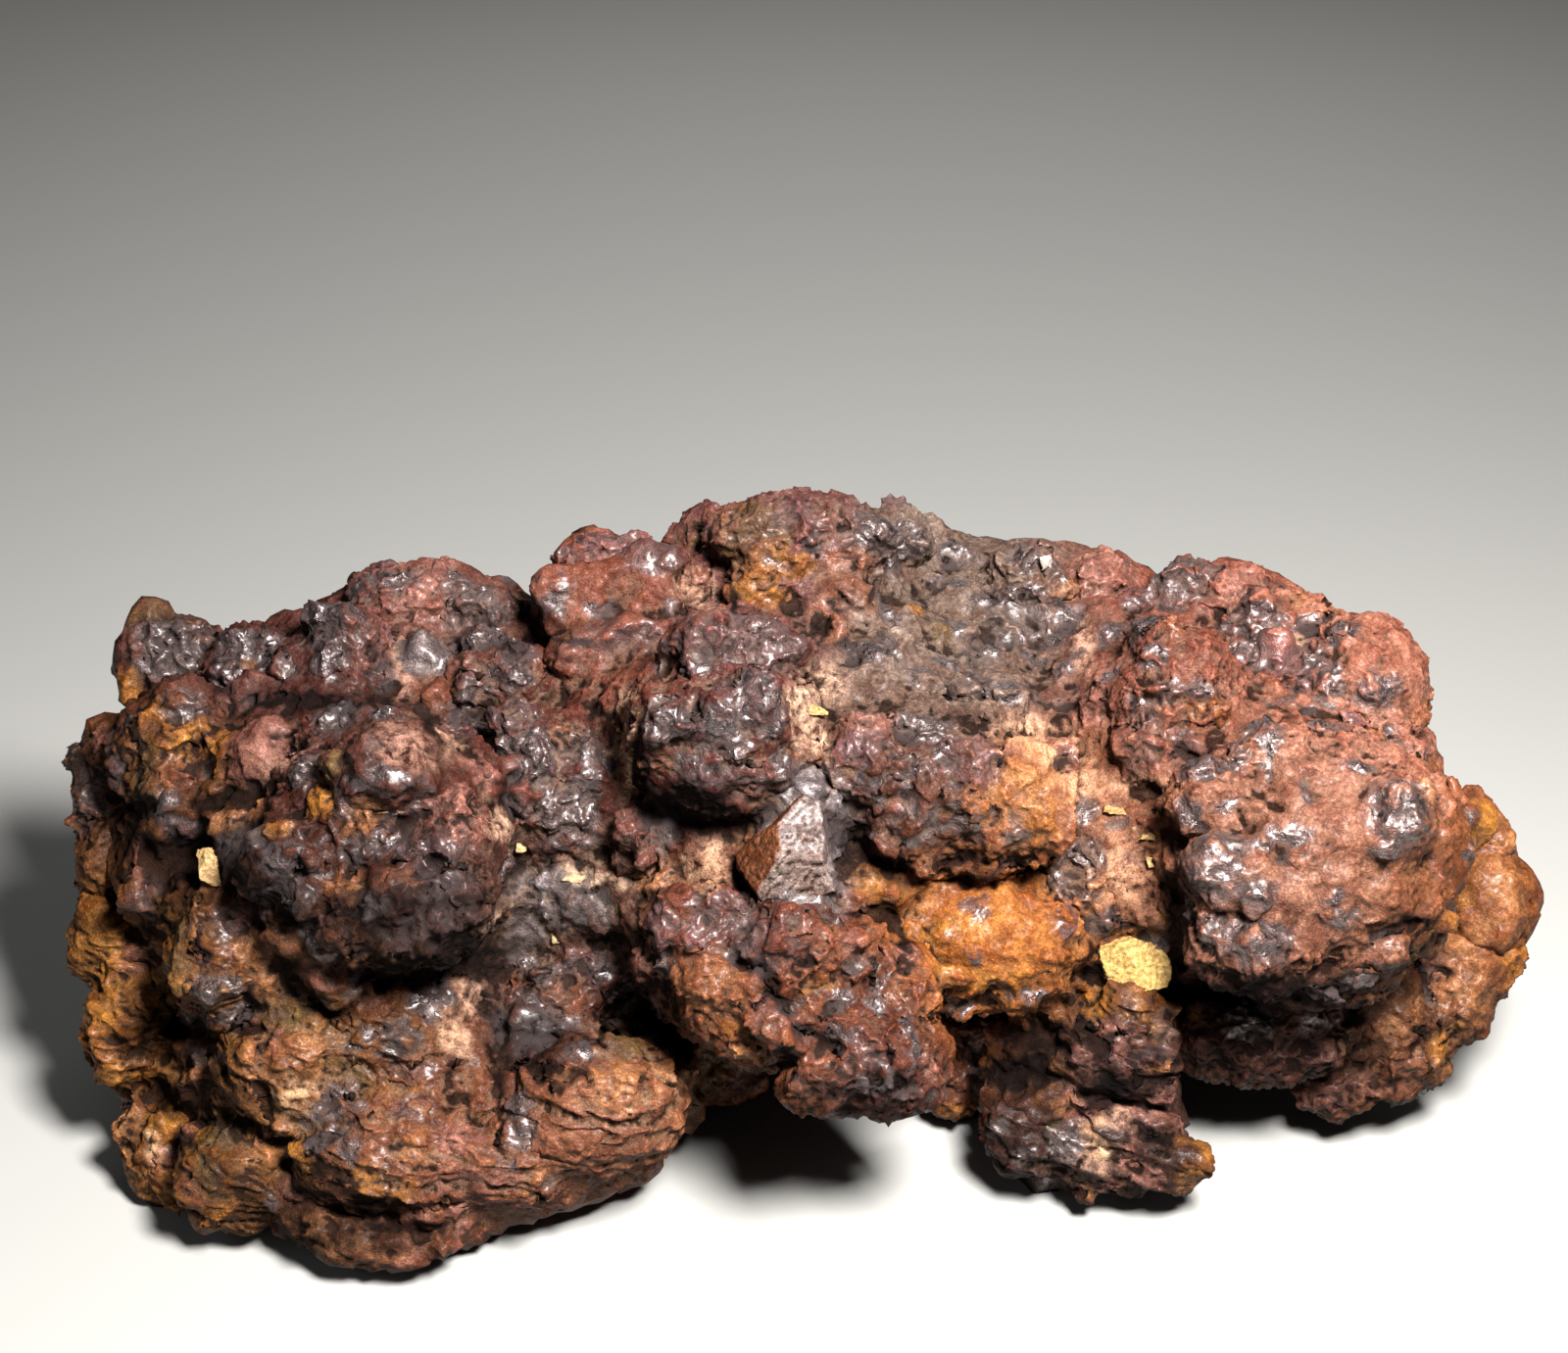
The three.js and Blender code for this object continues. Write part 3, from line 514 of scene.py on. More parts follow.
        (23, 6.2, 2.4, 1.5, 0.2), (13.8, -13.6, 1.6, 1.6, 0), (23.6, -15.4, 1, 1.8, 0.1),
        (19.5, -28.5, 0.6, 0.6, 0.3), (15.4, -42.6, 1.2, 1.4, 0.1), (9.6, -33.8, 0.9, 1.2, 0.2),
        (30.2, -18.8, 2, 2.2, 0.3), (29, -21, 1.4, 1.4, 0.2), (34, -15.2, 1.2, 0.7, 0.2),
        (37.8, -27, 1.2, 1, 0.2), (40.4, 9.6, 2.4, 2, 0.1), (43.6, 9, 1.8, 2, 0.1),
        (45.4, 5, 1.2, 1.2, 0.1), (53.2, -3.2, 3.2, 0.9, 0.1), (62.6, -7.4, 2.4, 0.8, 0.1),
        (65.2, -31.5, 0.5, 2.6, 0.1), (44.4, -17.2, 2, 1, 0.2), (46.2, -17.2, 1, 0.8, 0.2),
        (33.4, -31, 1.2, 0.8, 0.2), (38.2, -35.6, 1.5, 1.2, 0.1),
    ],
    "pink": [
        (-58.2, 5.4, 1.3, 0.9, 0.2), (-49.6, 6.6, 2.2, 1.6, 0.2), (-37, 7.4, 2.2, 2.2, 0.15),
        (-47.6, -6.4, 2.4, 1.6, 0.1), (-53, -8.2, 2.8, 2.6, 0), (-69.4, -8, 0.9, 1.8, 0.2),
        (-57.4, -15.2, 1.3, 0.9, 0.2), (-65.4, -19.5, 0.9, 2.2, 0.3), (-54.6, -25, 1.8, 1.2, 0.2),
        (-32.6, -14, 1.6, 2.4, 0), (-21.6, -17.8, 3.6, 0.8, 0.1, 5), (-31.4, -10.2, 2.2, 1.4, 0.2, -30),
        (-33, -15, 1.8, 2.2, 0.1), (8.4, -5.2, 2.2, 1.6, 0.2), (18.5, -10.6, 3, 0.7, 0.1),
        (11.6, -13.6, 1.4, 1.2, 0.1), (23.6, -8.2, 1, 0.9, 0.1), (20.6, -41.8, 0.5, 0.8, 0.2),
        (15, -39.5, 0.8, 1.2, 0.2), (11.3, -28.8, 0.9, 1.4, 0.2), (32.2, 9.6, 3.4, 2.6, 0.1),
        (46.6, 8, 3.6, 2.4, 0.1), (33, -3, 2.6, 2.2, 0.2), (28.2, -8.2, 1.8, 1.6, 0.1),
        (67.6, -29.2, 2.4, 1.6, 0.1), (59, -41.7, 1, 1, 0.3), (55.4, -38.2, 1.3, 1.2, 0.2, 40),
        (56.1, -42.5, 1.6, 1.5, 0.3), (34.2, -37.6, 2, 1.6, 0.2), (35.1, -39.9, 1.4, 1, 0.3),
        (30.3, -39.1, 1.3, 1, 0.2), (37.6, -42.2, 2, 1.3, 0.2), (37, -44.9, 3.4, 1.1, 0.3, -15),
        (30.3, -42.8, 1.6, 2, 0.15), (35.6, -48.6, 1.4, 1.2, 0.1), (37.5, -50.8, 1.4, 0.8, 0.2),
        (33.7, -51.7, 0.8, 0.9, 0.2), (6.4, -27.4, 1.6, 1.1, 0.2), (-14.2, -29.4, 0.8, 1, 0.2),
        (-64.6, -28.2, 2.8, 1.6, 0.2, 25), (-54.4, -35.8, 0.9, 0.6, 0.2), (-46.6, -30.8, 1.3, 1.1, 0.2),
        (-52.2, -37.2, 1, 1, 0.3), (-34, -48, 3, 1.6, 0.1), (-33.6, -50.6, 2.6, 1.4, 0.1),
        (-29.4, -51, 2.6, 1.2, 0.15), (-34.3, -53.9, 2.2, 1.2, 0.2, 15), (-31.6, -53.8, 1.6, 0.5, 0.2, 15),
        (-27.2, -53.6, 2, 0.6, 0.2), (-36.4, -54.6, 1.6, 0.8, 0.1), (-33.3, -56.2, 1.2, 0.6, 0.2, 20),
        (-34, -58.2, 1.4, 0.6, 0.2), (-38.6, -59.1, 1.2, 0.7, 0.2, 30), (-48.2, -58.7, 2.8, 0.9, 0.3, -8),
        (-61.8, -49.3, 1.8, 0.8, 0.1), (-60.2, -47.2, 0.9, 1.4, 0.1), (-53.1, -46.8, 0.8, 0.7, 0.3),
        (-49, -52.2, 1.6, 1.4, 0.2),
    ],
    "tan": [
        (-57.6, -24, 2, 2.2, 0.3, 30), (-59.6, -26.4, 1, 3, 0.2), (-55.4, -20.8, 1.2, 0.8, 0.2),
        (-42, -14, 2.4, 2, 0.1), (-54.5, -14, 3.6, 1.2, 0.3, 20), (-44, -21.6, 2.2, 1.2, 0.3),
        (-41.5, -28.6, 2.6, 0.8, 0.2, 15), (-11.6, -21.2, 2, 2, 0.2), (-28, -23.6, 2.4, 0.6, 0.2, 40),
        (-2.4, -13, 1, 0.6, 0.1), (-3.6, -16.4, 1.2, 1.2, 0.1), (24, -11.6, 2.8, 3, 0.1),
        (31.6, -21, 1.3, 1, 0.2), (28.2, 9.2, 1.4, 1.2, 0.1), (53.4, 6.8, 2.8, 1.2, 0),
        (64.2, -3.8, 1.6, 1.4, 0.3), (65, -12, 1.2, 1.4, 0.1), (72.6, -17.4, 1.6, 2, 0.1),
        (72, -21, 1.4, 2.2, 0.1), (73.6, -23.8, 1.5, 3.6, 0.2), (70.6, -24.4, 1.8, 1, 0.2),
        (71.4, -26.2, 1.6, 1.3, 0.2), (69.6, -27.8, 2.8, 1.4, 0.1), (68.6, -31.6, 2.6, 3, 0.15),
        (58.6, -32.4, 1.6, 1, 0.1), (62.6, -32.2, 1.6, 3.4, 0.25), (61.2, -35, 1.6, 1.2, 0.1),
        (38.2, -36.5, 0.9, 1, 0.3), (37.8, -40, 1.4, 0.6, 0.2), (28.8, -39.8, 1.4, 1, 0.2),
        (28, -43, 2, 1, 0.1), (31, -52, 0.8, 1.2, 0.2), (31.6, -53.6, 0.5, 0.4, 0.2),
        (-6.6, -31.2, 3.6, 2.4, 0.2, -10), (-4.4, -37.6, 2.6, 1.4, 0.2, -35), (-13.2, -38.6, 0.6, 0.8, 0.3),
        (-12.4, -40.4, 1.3, 1.2, 0.2), (-22.2, -43, 1, 2.2, 0.2, 10), (-19, -42.6, 0.8, 2, 0.2),
        (-16.4, -42.6, 1.6, 2.6, 0.1), (-13.4, -43.4, 1.2, 2, 0.1), (-66, -33.4, 1.6, 1.6, 0.1),
        (-53, -30, 1.8, 2.2, 0.15), (-54, -28, 1.6, 1.2, 0.2), (-52, -27.8, 0.5, 0.7, 0.3),
        (-59, -42, 2.6, 2, 0.1), (-56.6, -43.6, 1.6, 1.4, 0.1), (-54, -38.6, 1.3, 1.6, 0.2),
        (-53.6, -41.4, 1.2, 1.6, 0.15), (-49.4, -38.6, 3.2, 1.8, 0.15, 10), (-32.2, -40.6, 1.6, 1, 0.1),
        (-37.6, -48, 1.6, 1.8, 0.1), (-25.8, -50.8, 1.4, 1.4, 0.1), (-42, -58.8, 2.6, 0.8, 0.1),
        (-46.6, -55, 2, 0.6, 0.2, 5), (-46, -56.6, 2.6, 0.5, 0.3, 8), (-45, -58.4, 1.8, 1, 0.1),
        (-66.4, -46.6, 1.6, 3.2, 0.2), (-63.2, -50.6, 1.6, 1, 0.1), (-53.6, -49.5, 1.8, 2.2, 0.15),
        (-51.1, -45.7, 1.3, 1.1, 0.3),
    ],
    "ochre": [
        (-61, 4.4, 1.6, 1, 0.2), (-66.4, -1.2, 1.4, 1.6, 0.3), (-54.9, 0.2, 0.8, 1.2, 0.2),
        (-64.2, -4.4, 1.3, 1.4, 0.2), (-61.6, -6.8, 2.6, 1.8, 0.2), (-57, -8.2, 1.5, 2.2, 0.2),
        (-46.6, -12.8, 1.5, 1.4, 0.2), (-52, -16, 1.6, 0.8, 0.3, 15), (1, 11.5, 1.6, 1.2, 0.1),
        (-1.8, 12.4, 2, 1.8, 0.05), (-2.4, 8.4, 2.6, 1.8, 0.2), (12.4, 6.4, 1.4, 1.2, 0.05),
        (26.2, -14.2, 1.4, 1.9, 0.3), (13, -26.5, 1.4, 1.9, 0.2), (17.2, -26.2, 2.4, 1.4, 0.1),
        (16, -30.6, 3.2, 1.2, 0.2), (20.6, -30.8, 3, 1, 0.15), (8.6, -21.4, 2.2, 1.6, 0.3),
        (24.4, -33.6, 1.3, 0.9, 0.2), (17.2, -43.9, 1.5, 1.2, 0.2), (19.4, -43.6, 1.4, 0.8, 0.2, 50),
        (38.4, -24, 1, 1.2, 0.2), (36.4, -26, 1.6, 0.6, 0.3), (43.2, -3.4, 1.8, 1, 0.1),
        (70.4, -15.2, 1.9, 2, 0.2), (69.2, -21.6, 2, 2.4, 0.15), (66.6, -25.2, 1.9, 1, 0.2),
        (67.6, -34.6, 1.2, 0.9, 0.1), (42, -34.6, 1, 0.8, 0.1), (66.3, -38, 1, 2, 0.2),
        (35.6, -33.8, 3.8, 1.9, 0.25, -10), (41.6, -49.6, 1.7, 1.8, 0.2), (-3.2, -32.8, 1, 1.4, 0.2),
        (-5, -35.2, 1.6, 1, 0.2), (3.6, -31.6, 1.4, 0.7, 0.1), (-68, -30.8, 1.6, 1.8, 0.1),
        (-67.6, -37, 2.8, 3.6, 0.2, 15), (-39.4, -42.4, 2.2, 1, 0.15, -5), (-42.2, -51.2, 1.6, 1.6, 0.15),
        (-38.7, -51.8, 1.8, 1.6, 0.15), (-63, -46.4, 1.4, 1.2, 0.1), (-57, -51.4, 0.7, 0.8, 0.2),
        (-62, -52.6, 1.4, 1.6, 0.2), (-58.8, -54.6, 0.5, 1.4, 0.2), (-57.7, -54.6, 0.5, 1.5, 0.2),
        (-56.7, -54.2, 0.5, 1.2, 0.2), (-52.2, -50.2, 0.5, 1.4, 0.2), (-48.7, -48.4, 1.4, 0.9, 0.1),
    ],
    "olive": [
        (-64, -7.6, 1.4, 1.8, 0.2), (-64.2, -11.4, 1.7, 1.6, 0.3), (-45.6, -9.2, 1.5, 1.3, 0.2),
        (-8.6, 13.2, 1.2, 1.8, 0.2), (-2.4, 14, 3.6, 2.6, 0.05), (15.8, 3.6, 1, 1.4, 0.1),
        (10.8, -22, 1, 1, 0.2), (63.6, -28.4, 0.9, 0.6, 0.1), (57.1, -37, 0.8, 1.5, 0.2),
        (27.4, -46.4, 0.8, 0.8, 0.2), (-7.8, -39.2, 1.4, 2.4, 0.15), (-9.8, -43.6, 2, 1.8, 0.2),
        (-16.6, -38.4, 2.4, 1.6, 0.1), (-61.3, -28.6, 1, 4.2, 0.2, -8), (-63, -33, 1.2, 3.4, 0.15, -8),
        (-51.4, -33.4, 2.6, 1.8, 0.2, -35), (-48.6, -35.8, 2.6, 1.6, 0.2, -35),
        (-45.6, -38.4, 2.2, 1.5, 0.15, -50), (-42.8, -41, 2.8, 1.5, 0.2, -30),
        (-56.8, -47.4, 1.7, 2.4, 0.2), (-58.2, -51, 1.4, 1.6, 0.1),
    ],
    "slate": [
        (2.4, -15.6, 3.4, 5, 0.05, -10), (1.6, -22, 3.4, 2.6, 0.05), (-22, -22, 4.4, 2.2, 0.05),
        (-26, -24.6, 2, 2, 0.05), (-36.8, 1.6, 2, 2.2, 0.05),
    ],
    "cream": [
        (37, -14.4, 1.6, 0.35, 0.3, 40), (38.8, -13, 1.1, 0.35, 0.3, 30), (52.2, 3.4, 1.1, 0.6, 0.3),
        (31.9, -47, 1, 1.6, 0.05), (-63.8, -48.6, 0.6, 1.6, 0.2, 30),
    ],
}


def farFinish(spot, chance):  # the right end weathers orange, the left stays dark
    rightness = (spot.x / mm + 10) / 70 + chance.normal() * 0.25
    lean = chance.random()
    if lean < 0.36:
        return "silver"
    if rightness > 0.5:
        return ("tan", "rust", "ochre", "tan", "pink")[int(chance.random() * 5)]
    return ("maroon", "red", "rust", "dark", "olive", "mauve")[int(chance.random() * 6)]


def ownerOf(place):  # the boulder group that a knob sits on, or the matrix between them
    least, owner = 1.1, "matrix"
    for name, places in boulderPlaces.items():
        for centre, turn, half, _ in places:
            local = turn.transposed() @ (place - centre)
            reach = Vector((local.x / half.x, local.y / half.y, local.z / half.z)).length
            if reach < least:
                least, owner = reach, name
    return owner


chance = np.random.default_rng(4)
knobPlaces = []
for finish, entries in knobs.items():
    knobPlaces += [(*spot, finish) for spot in placesFor(formSurface, entries, 1.0, True)]
for spot in scatter(formSurface, form.data.polygons, farLumps["knobs"]):
    knobPlaces.append((*spot, farFinish(spot[0], chance)))
owned = {name: [] for name in pieces}
for i, (centre, turn, half, place, finish) in enumerate(knobPlaces):
    grown.append((np.array(centre), np.array(turn), np.array(half), finish))
    owned[ownerOf(place)].append(setLump(knobModels[i % len(knobModels)], centre, turn, half))
for name, piece in pieces.items():
    join(piece, owned[name])
    resurface(piece, voxelOf(piece), stone["seamSmoothing"])
    print(name + ":", len(owned[name]), "knobs,", len(piece.data.polygons), "faces")
for model in (boulderModel, brick, *knobModels):
    bpy.data.objects.remove(model)

# the broken crystal, cleaved from a block; a cut is a point, in half sizes, and the way the new face looks
crystal = {
    "across": 0.3,
    "up": -17.6,
    "half": (5.4, 6.2, 3.2),
    "sunk": 0.35,
    "voxel": 0.24,
    "greyFace": (0.13, 0.108, 0.108),
    "rustFace": (0.15, 0.056, 0.024),  # turned to the left
    "rustTurn": (2.2, 0.2),  # gain with the turn, and where it starts
    "paleFace": (0.26, 0.21, 0.19),  # turned to the front
    "paleTurn": (1.6, 0.7),
    "dust": (0.42, 0.27, 0.18),
    "lustre": 0.22,
    "dustHollows": (12, 0.4, 0.4),  # smoothing rounds, depth in mm, most
    "pitHollows": (4, 0.035),
    "cuts": [
        ((-0.47, 0.3, 0), (-0.7, 0.72, 0.1)), ((-0.76, -0.55, 0), (-0.84, -0.55, 0.1)),
        ((0.78, 0.32, 0), (0.98, 0.17, 0.1)), ((0.57, 0.84, 0), (0.42, 0.9, 0.1)),
        ((0.46, -0.87, 0), (0.33, -0.94, 0.1)), ((0.1, 0.3, 0.85), (0.12, 0.32, 0.94)),
        ((-0.25, 0, 0.85), (-0.74, 0.12, 0.66)), ((0, -0.28, 0.85), (0.06, -0.5, 0.86)),
        ((0.8, 0, 0.6), (0.85, 0, 0.52)),
    ],
}
crumbMake = {"voxel": 0.14, "sunk": -0.1, "hollowDepth": 0.07, "hollowShade": 0.7}
crumbs = {  # across, up, half sizes, roll, colour, cuts
    "sulphurChip": (35.8, -29.2, (4, 2.6, 1.6), -18, (0.4, 0.27, 0.08), [
        ((-0.7, 0.6, 0), (-0.6, 0.8, 0.2)), ((0.75, 0.7, 0), (0.8, 0.55, 0.1)),
        ((0.7, -0.75, 0), (0.4, -0.9, 0)), ((-0.75, -0.55, 0), (-0.8, -0.6, 0.1)),
        ((0.2, 0.1, 0.75), (0.35, 0.2, 0.9)), ((-0.2, -0.2, 0.8), (-0.3, -0.35, 0.9)),
    ]),
    "creamPebble": (-58.6, -19.5, (1.1, 2.1, 1), 12, (0.36, 0.24, 0.1), [
        ((0.6, 0.7, 0), (0.7, 0.7, 0.2)), ((-0.6, -0.7, 0), (-0.6, -0.8, 0.1)),
        ((-0.5, 0.6, 0.5), (-0.5, 0.4, 0.7)),
    ]),
    "paleSliver": (-21.2, -20.6, (1.5, 0.5, 0.5), -6, (0.3, 0.22, 0.12), [
        ((-0.7, 0.3, 0), (-0.7, 0.7, 0)), ((0.7, -0.2, 0), (0.8, -0.5, 0.2)),
        ((0, 0, 0.7), (0, 0.4, 0.9)),
    ]),
    "creamGrain": (-26.8, -17.4, (0.6, 0.55, 0.5), 0, (0.32, 0.24, 0.11), [
        ((0.5, 0.5, 0), (0.7, 0.7, 0.2)),
    ]),
    "creamFleck": (-23.4, -26.4, (0.5, 1, 0.4), 10, (0.28, 0.2, 0.1), [((-0.5, 0.5, 0), (-0.7, 0.7, 0.1))]),
    "whiteGrain": (26.8, 11.7, (0.8, 0.75, 0.7), 20, (0.5, 0.46, 0.42), [
        ((0.5, -0.5, 0), (0.7, -0.6, 0.3)),
    ]),
    "strawFleckLong": (34, -13.7, (1.5, 0.45, 0.3), -8, (0.34, 0.19, 0.065), [
        ((0.6, 0, 0), (0.8, 0.5, 0)),
    ]),
    "strawFleckMiddle": (37, -16.4, (1.3, 0.4, 0.3), -5, (0.34, 0.19, 0.065), [
        ((-0.6, 0, 0), (-0.8, 0.4, 0)),
    ]),
    "strawFleckShort": (37.3, -18.8, (0.45, 0.85, 0.3), 15, (0.32, 0.19, 0.07), [
        ((0, 0.6, 0), (0.5, 0.8, 0)),
    ]),
    "creamCrumb": (3, -3.4, (1.5, 0.7, 0.6), 0, (0.4, 0.26, 0.1), [((0.4, 0.5, 0), (0.6, 0.8, 0.2))]),
}


def carve(name, half, cuts):
    bpy.ops.object.select_all(action="DESELECT")
    bpy.ops.mesh.primitive_cube_add(size=2, location=(0, 0, 0))
    made = bpy.context.object
    made.name = name
    made.data.transform(Matrix.Diagonal((*half, 1)))
    bpy.ops.object.mode_set(mode="EDIT")
    for spot, facing in cuts:
        bpy.ops.mesh.select_all(action="SELECT")
        bpy.ops.mesh.bisect(plane_co=[s * h for s, h in zip(spot, half)], plane_no=facing,
                            use_fill=True, clear_outer=True)
    bpy.ops.object.mode_set(mode="OBJECT")
    return made


def bed(piece, across, up, half, roll, sunk, voxel):  # set it on the stone's face, in metres
    along = lookAt(across, up)
    place = formSurface.ray_cast(eye, along)[0]
    size = perMillimetre(place)
    centre = place + along * half[2] * size * sunk
    piece.data.transform(Matrix.LocRotScale(centre, rolled(roll).to_quaternion(), Vector((size,) * 3)))
    resurface(piece, voxel, 1)


crystalPiece = carve("crystal", crystal["half"], crystal["cuts"])
bed(crystalPiece, crystal["across"], crystal["up"], crystal["half"], 0, crystal["sunk"], crystal["voxel"])
crumbPieces = {}
for name, (across, up, half, roll, colour, cuts) in crumbs.items():
    crumbPieces[name] = carve(name, half, cuts)
    bed(crumbPieces[name], across, up, half, roll, crumbMake["sunk"], crumbMake["voxel"])


def ovalPlaces(oval, across, up, rim):  # places measured in an oval's own half sizes
    x, y, halfWidth, halfHeight, *roll = oval
    angle = math.radians(roll[0] if roll else 0)
    along = ((across - x) * math.cos(angle) + (up - y) * math.sin(angle)) / (halfWidth * rim)
    over = ((up - y) * math.cos(angle) - (across - x) * math.sin(angle)) / (halfHeight * rim)
    return along, over


def within(oval, across, up, rim=1.0):  # how far inside an oval, 1 at its middle and 0 at its edge
    along, over = ovalPlaces(oval, across, up, rim)
    return np.clip(1 - np.sqrt(along ** 2 + over ** 2), 0, 1)


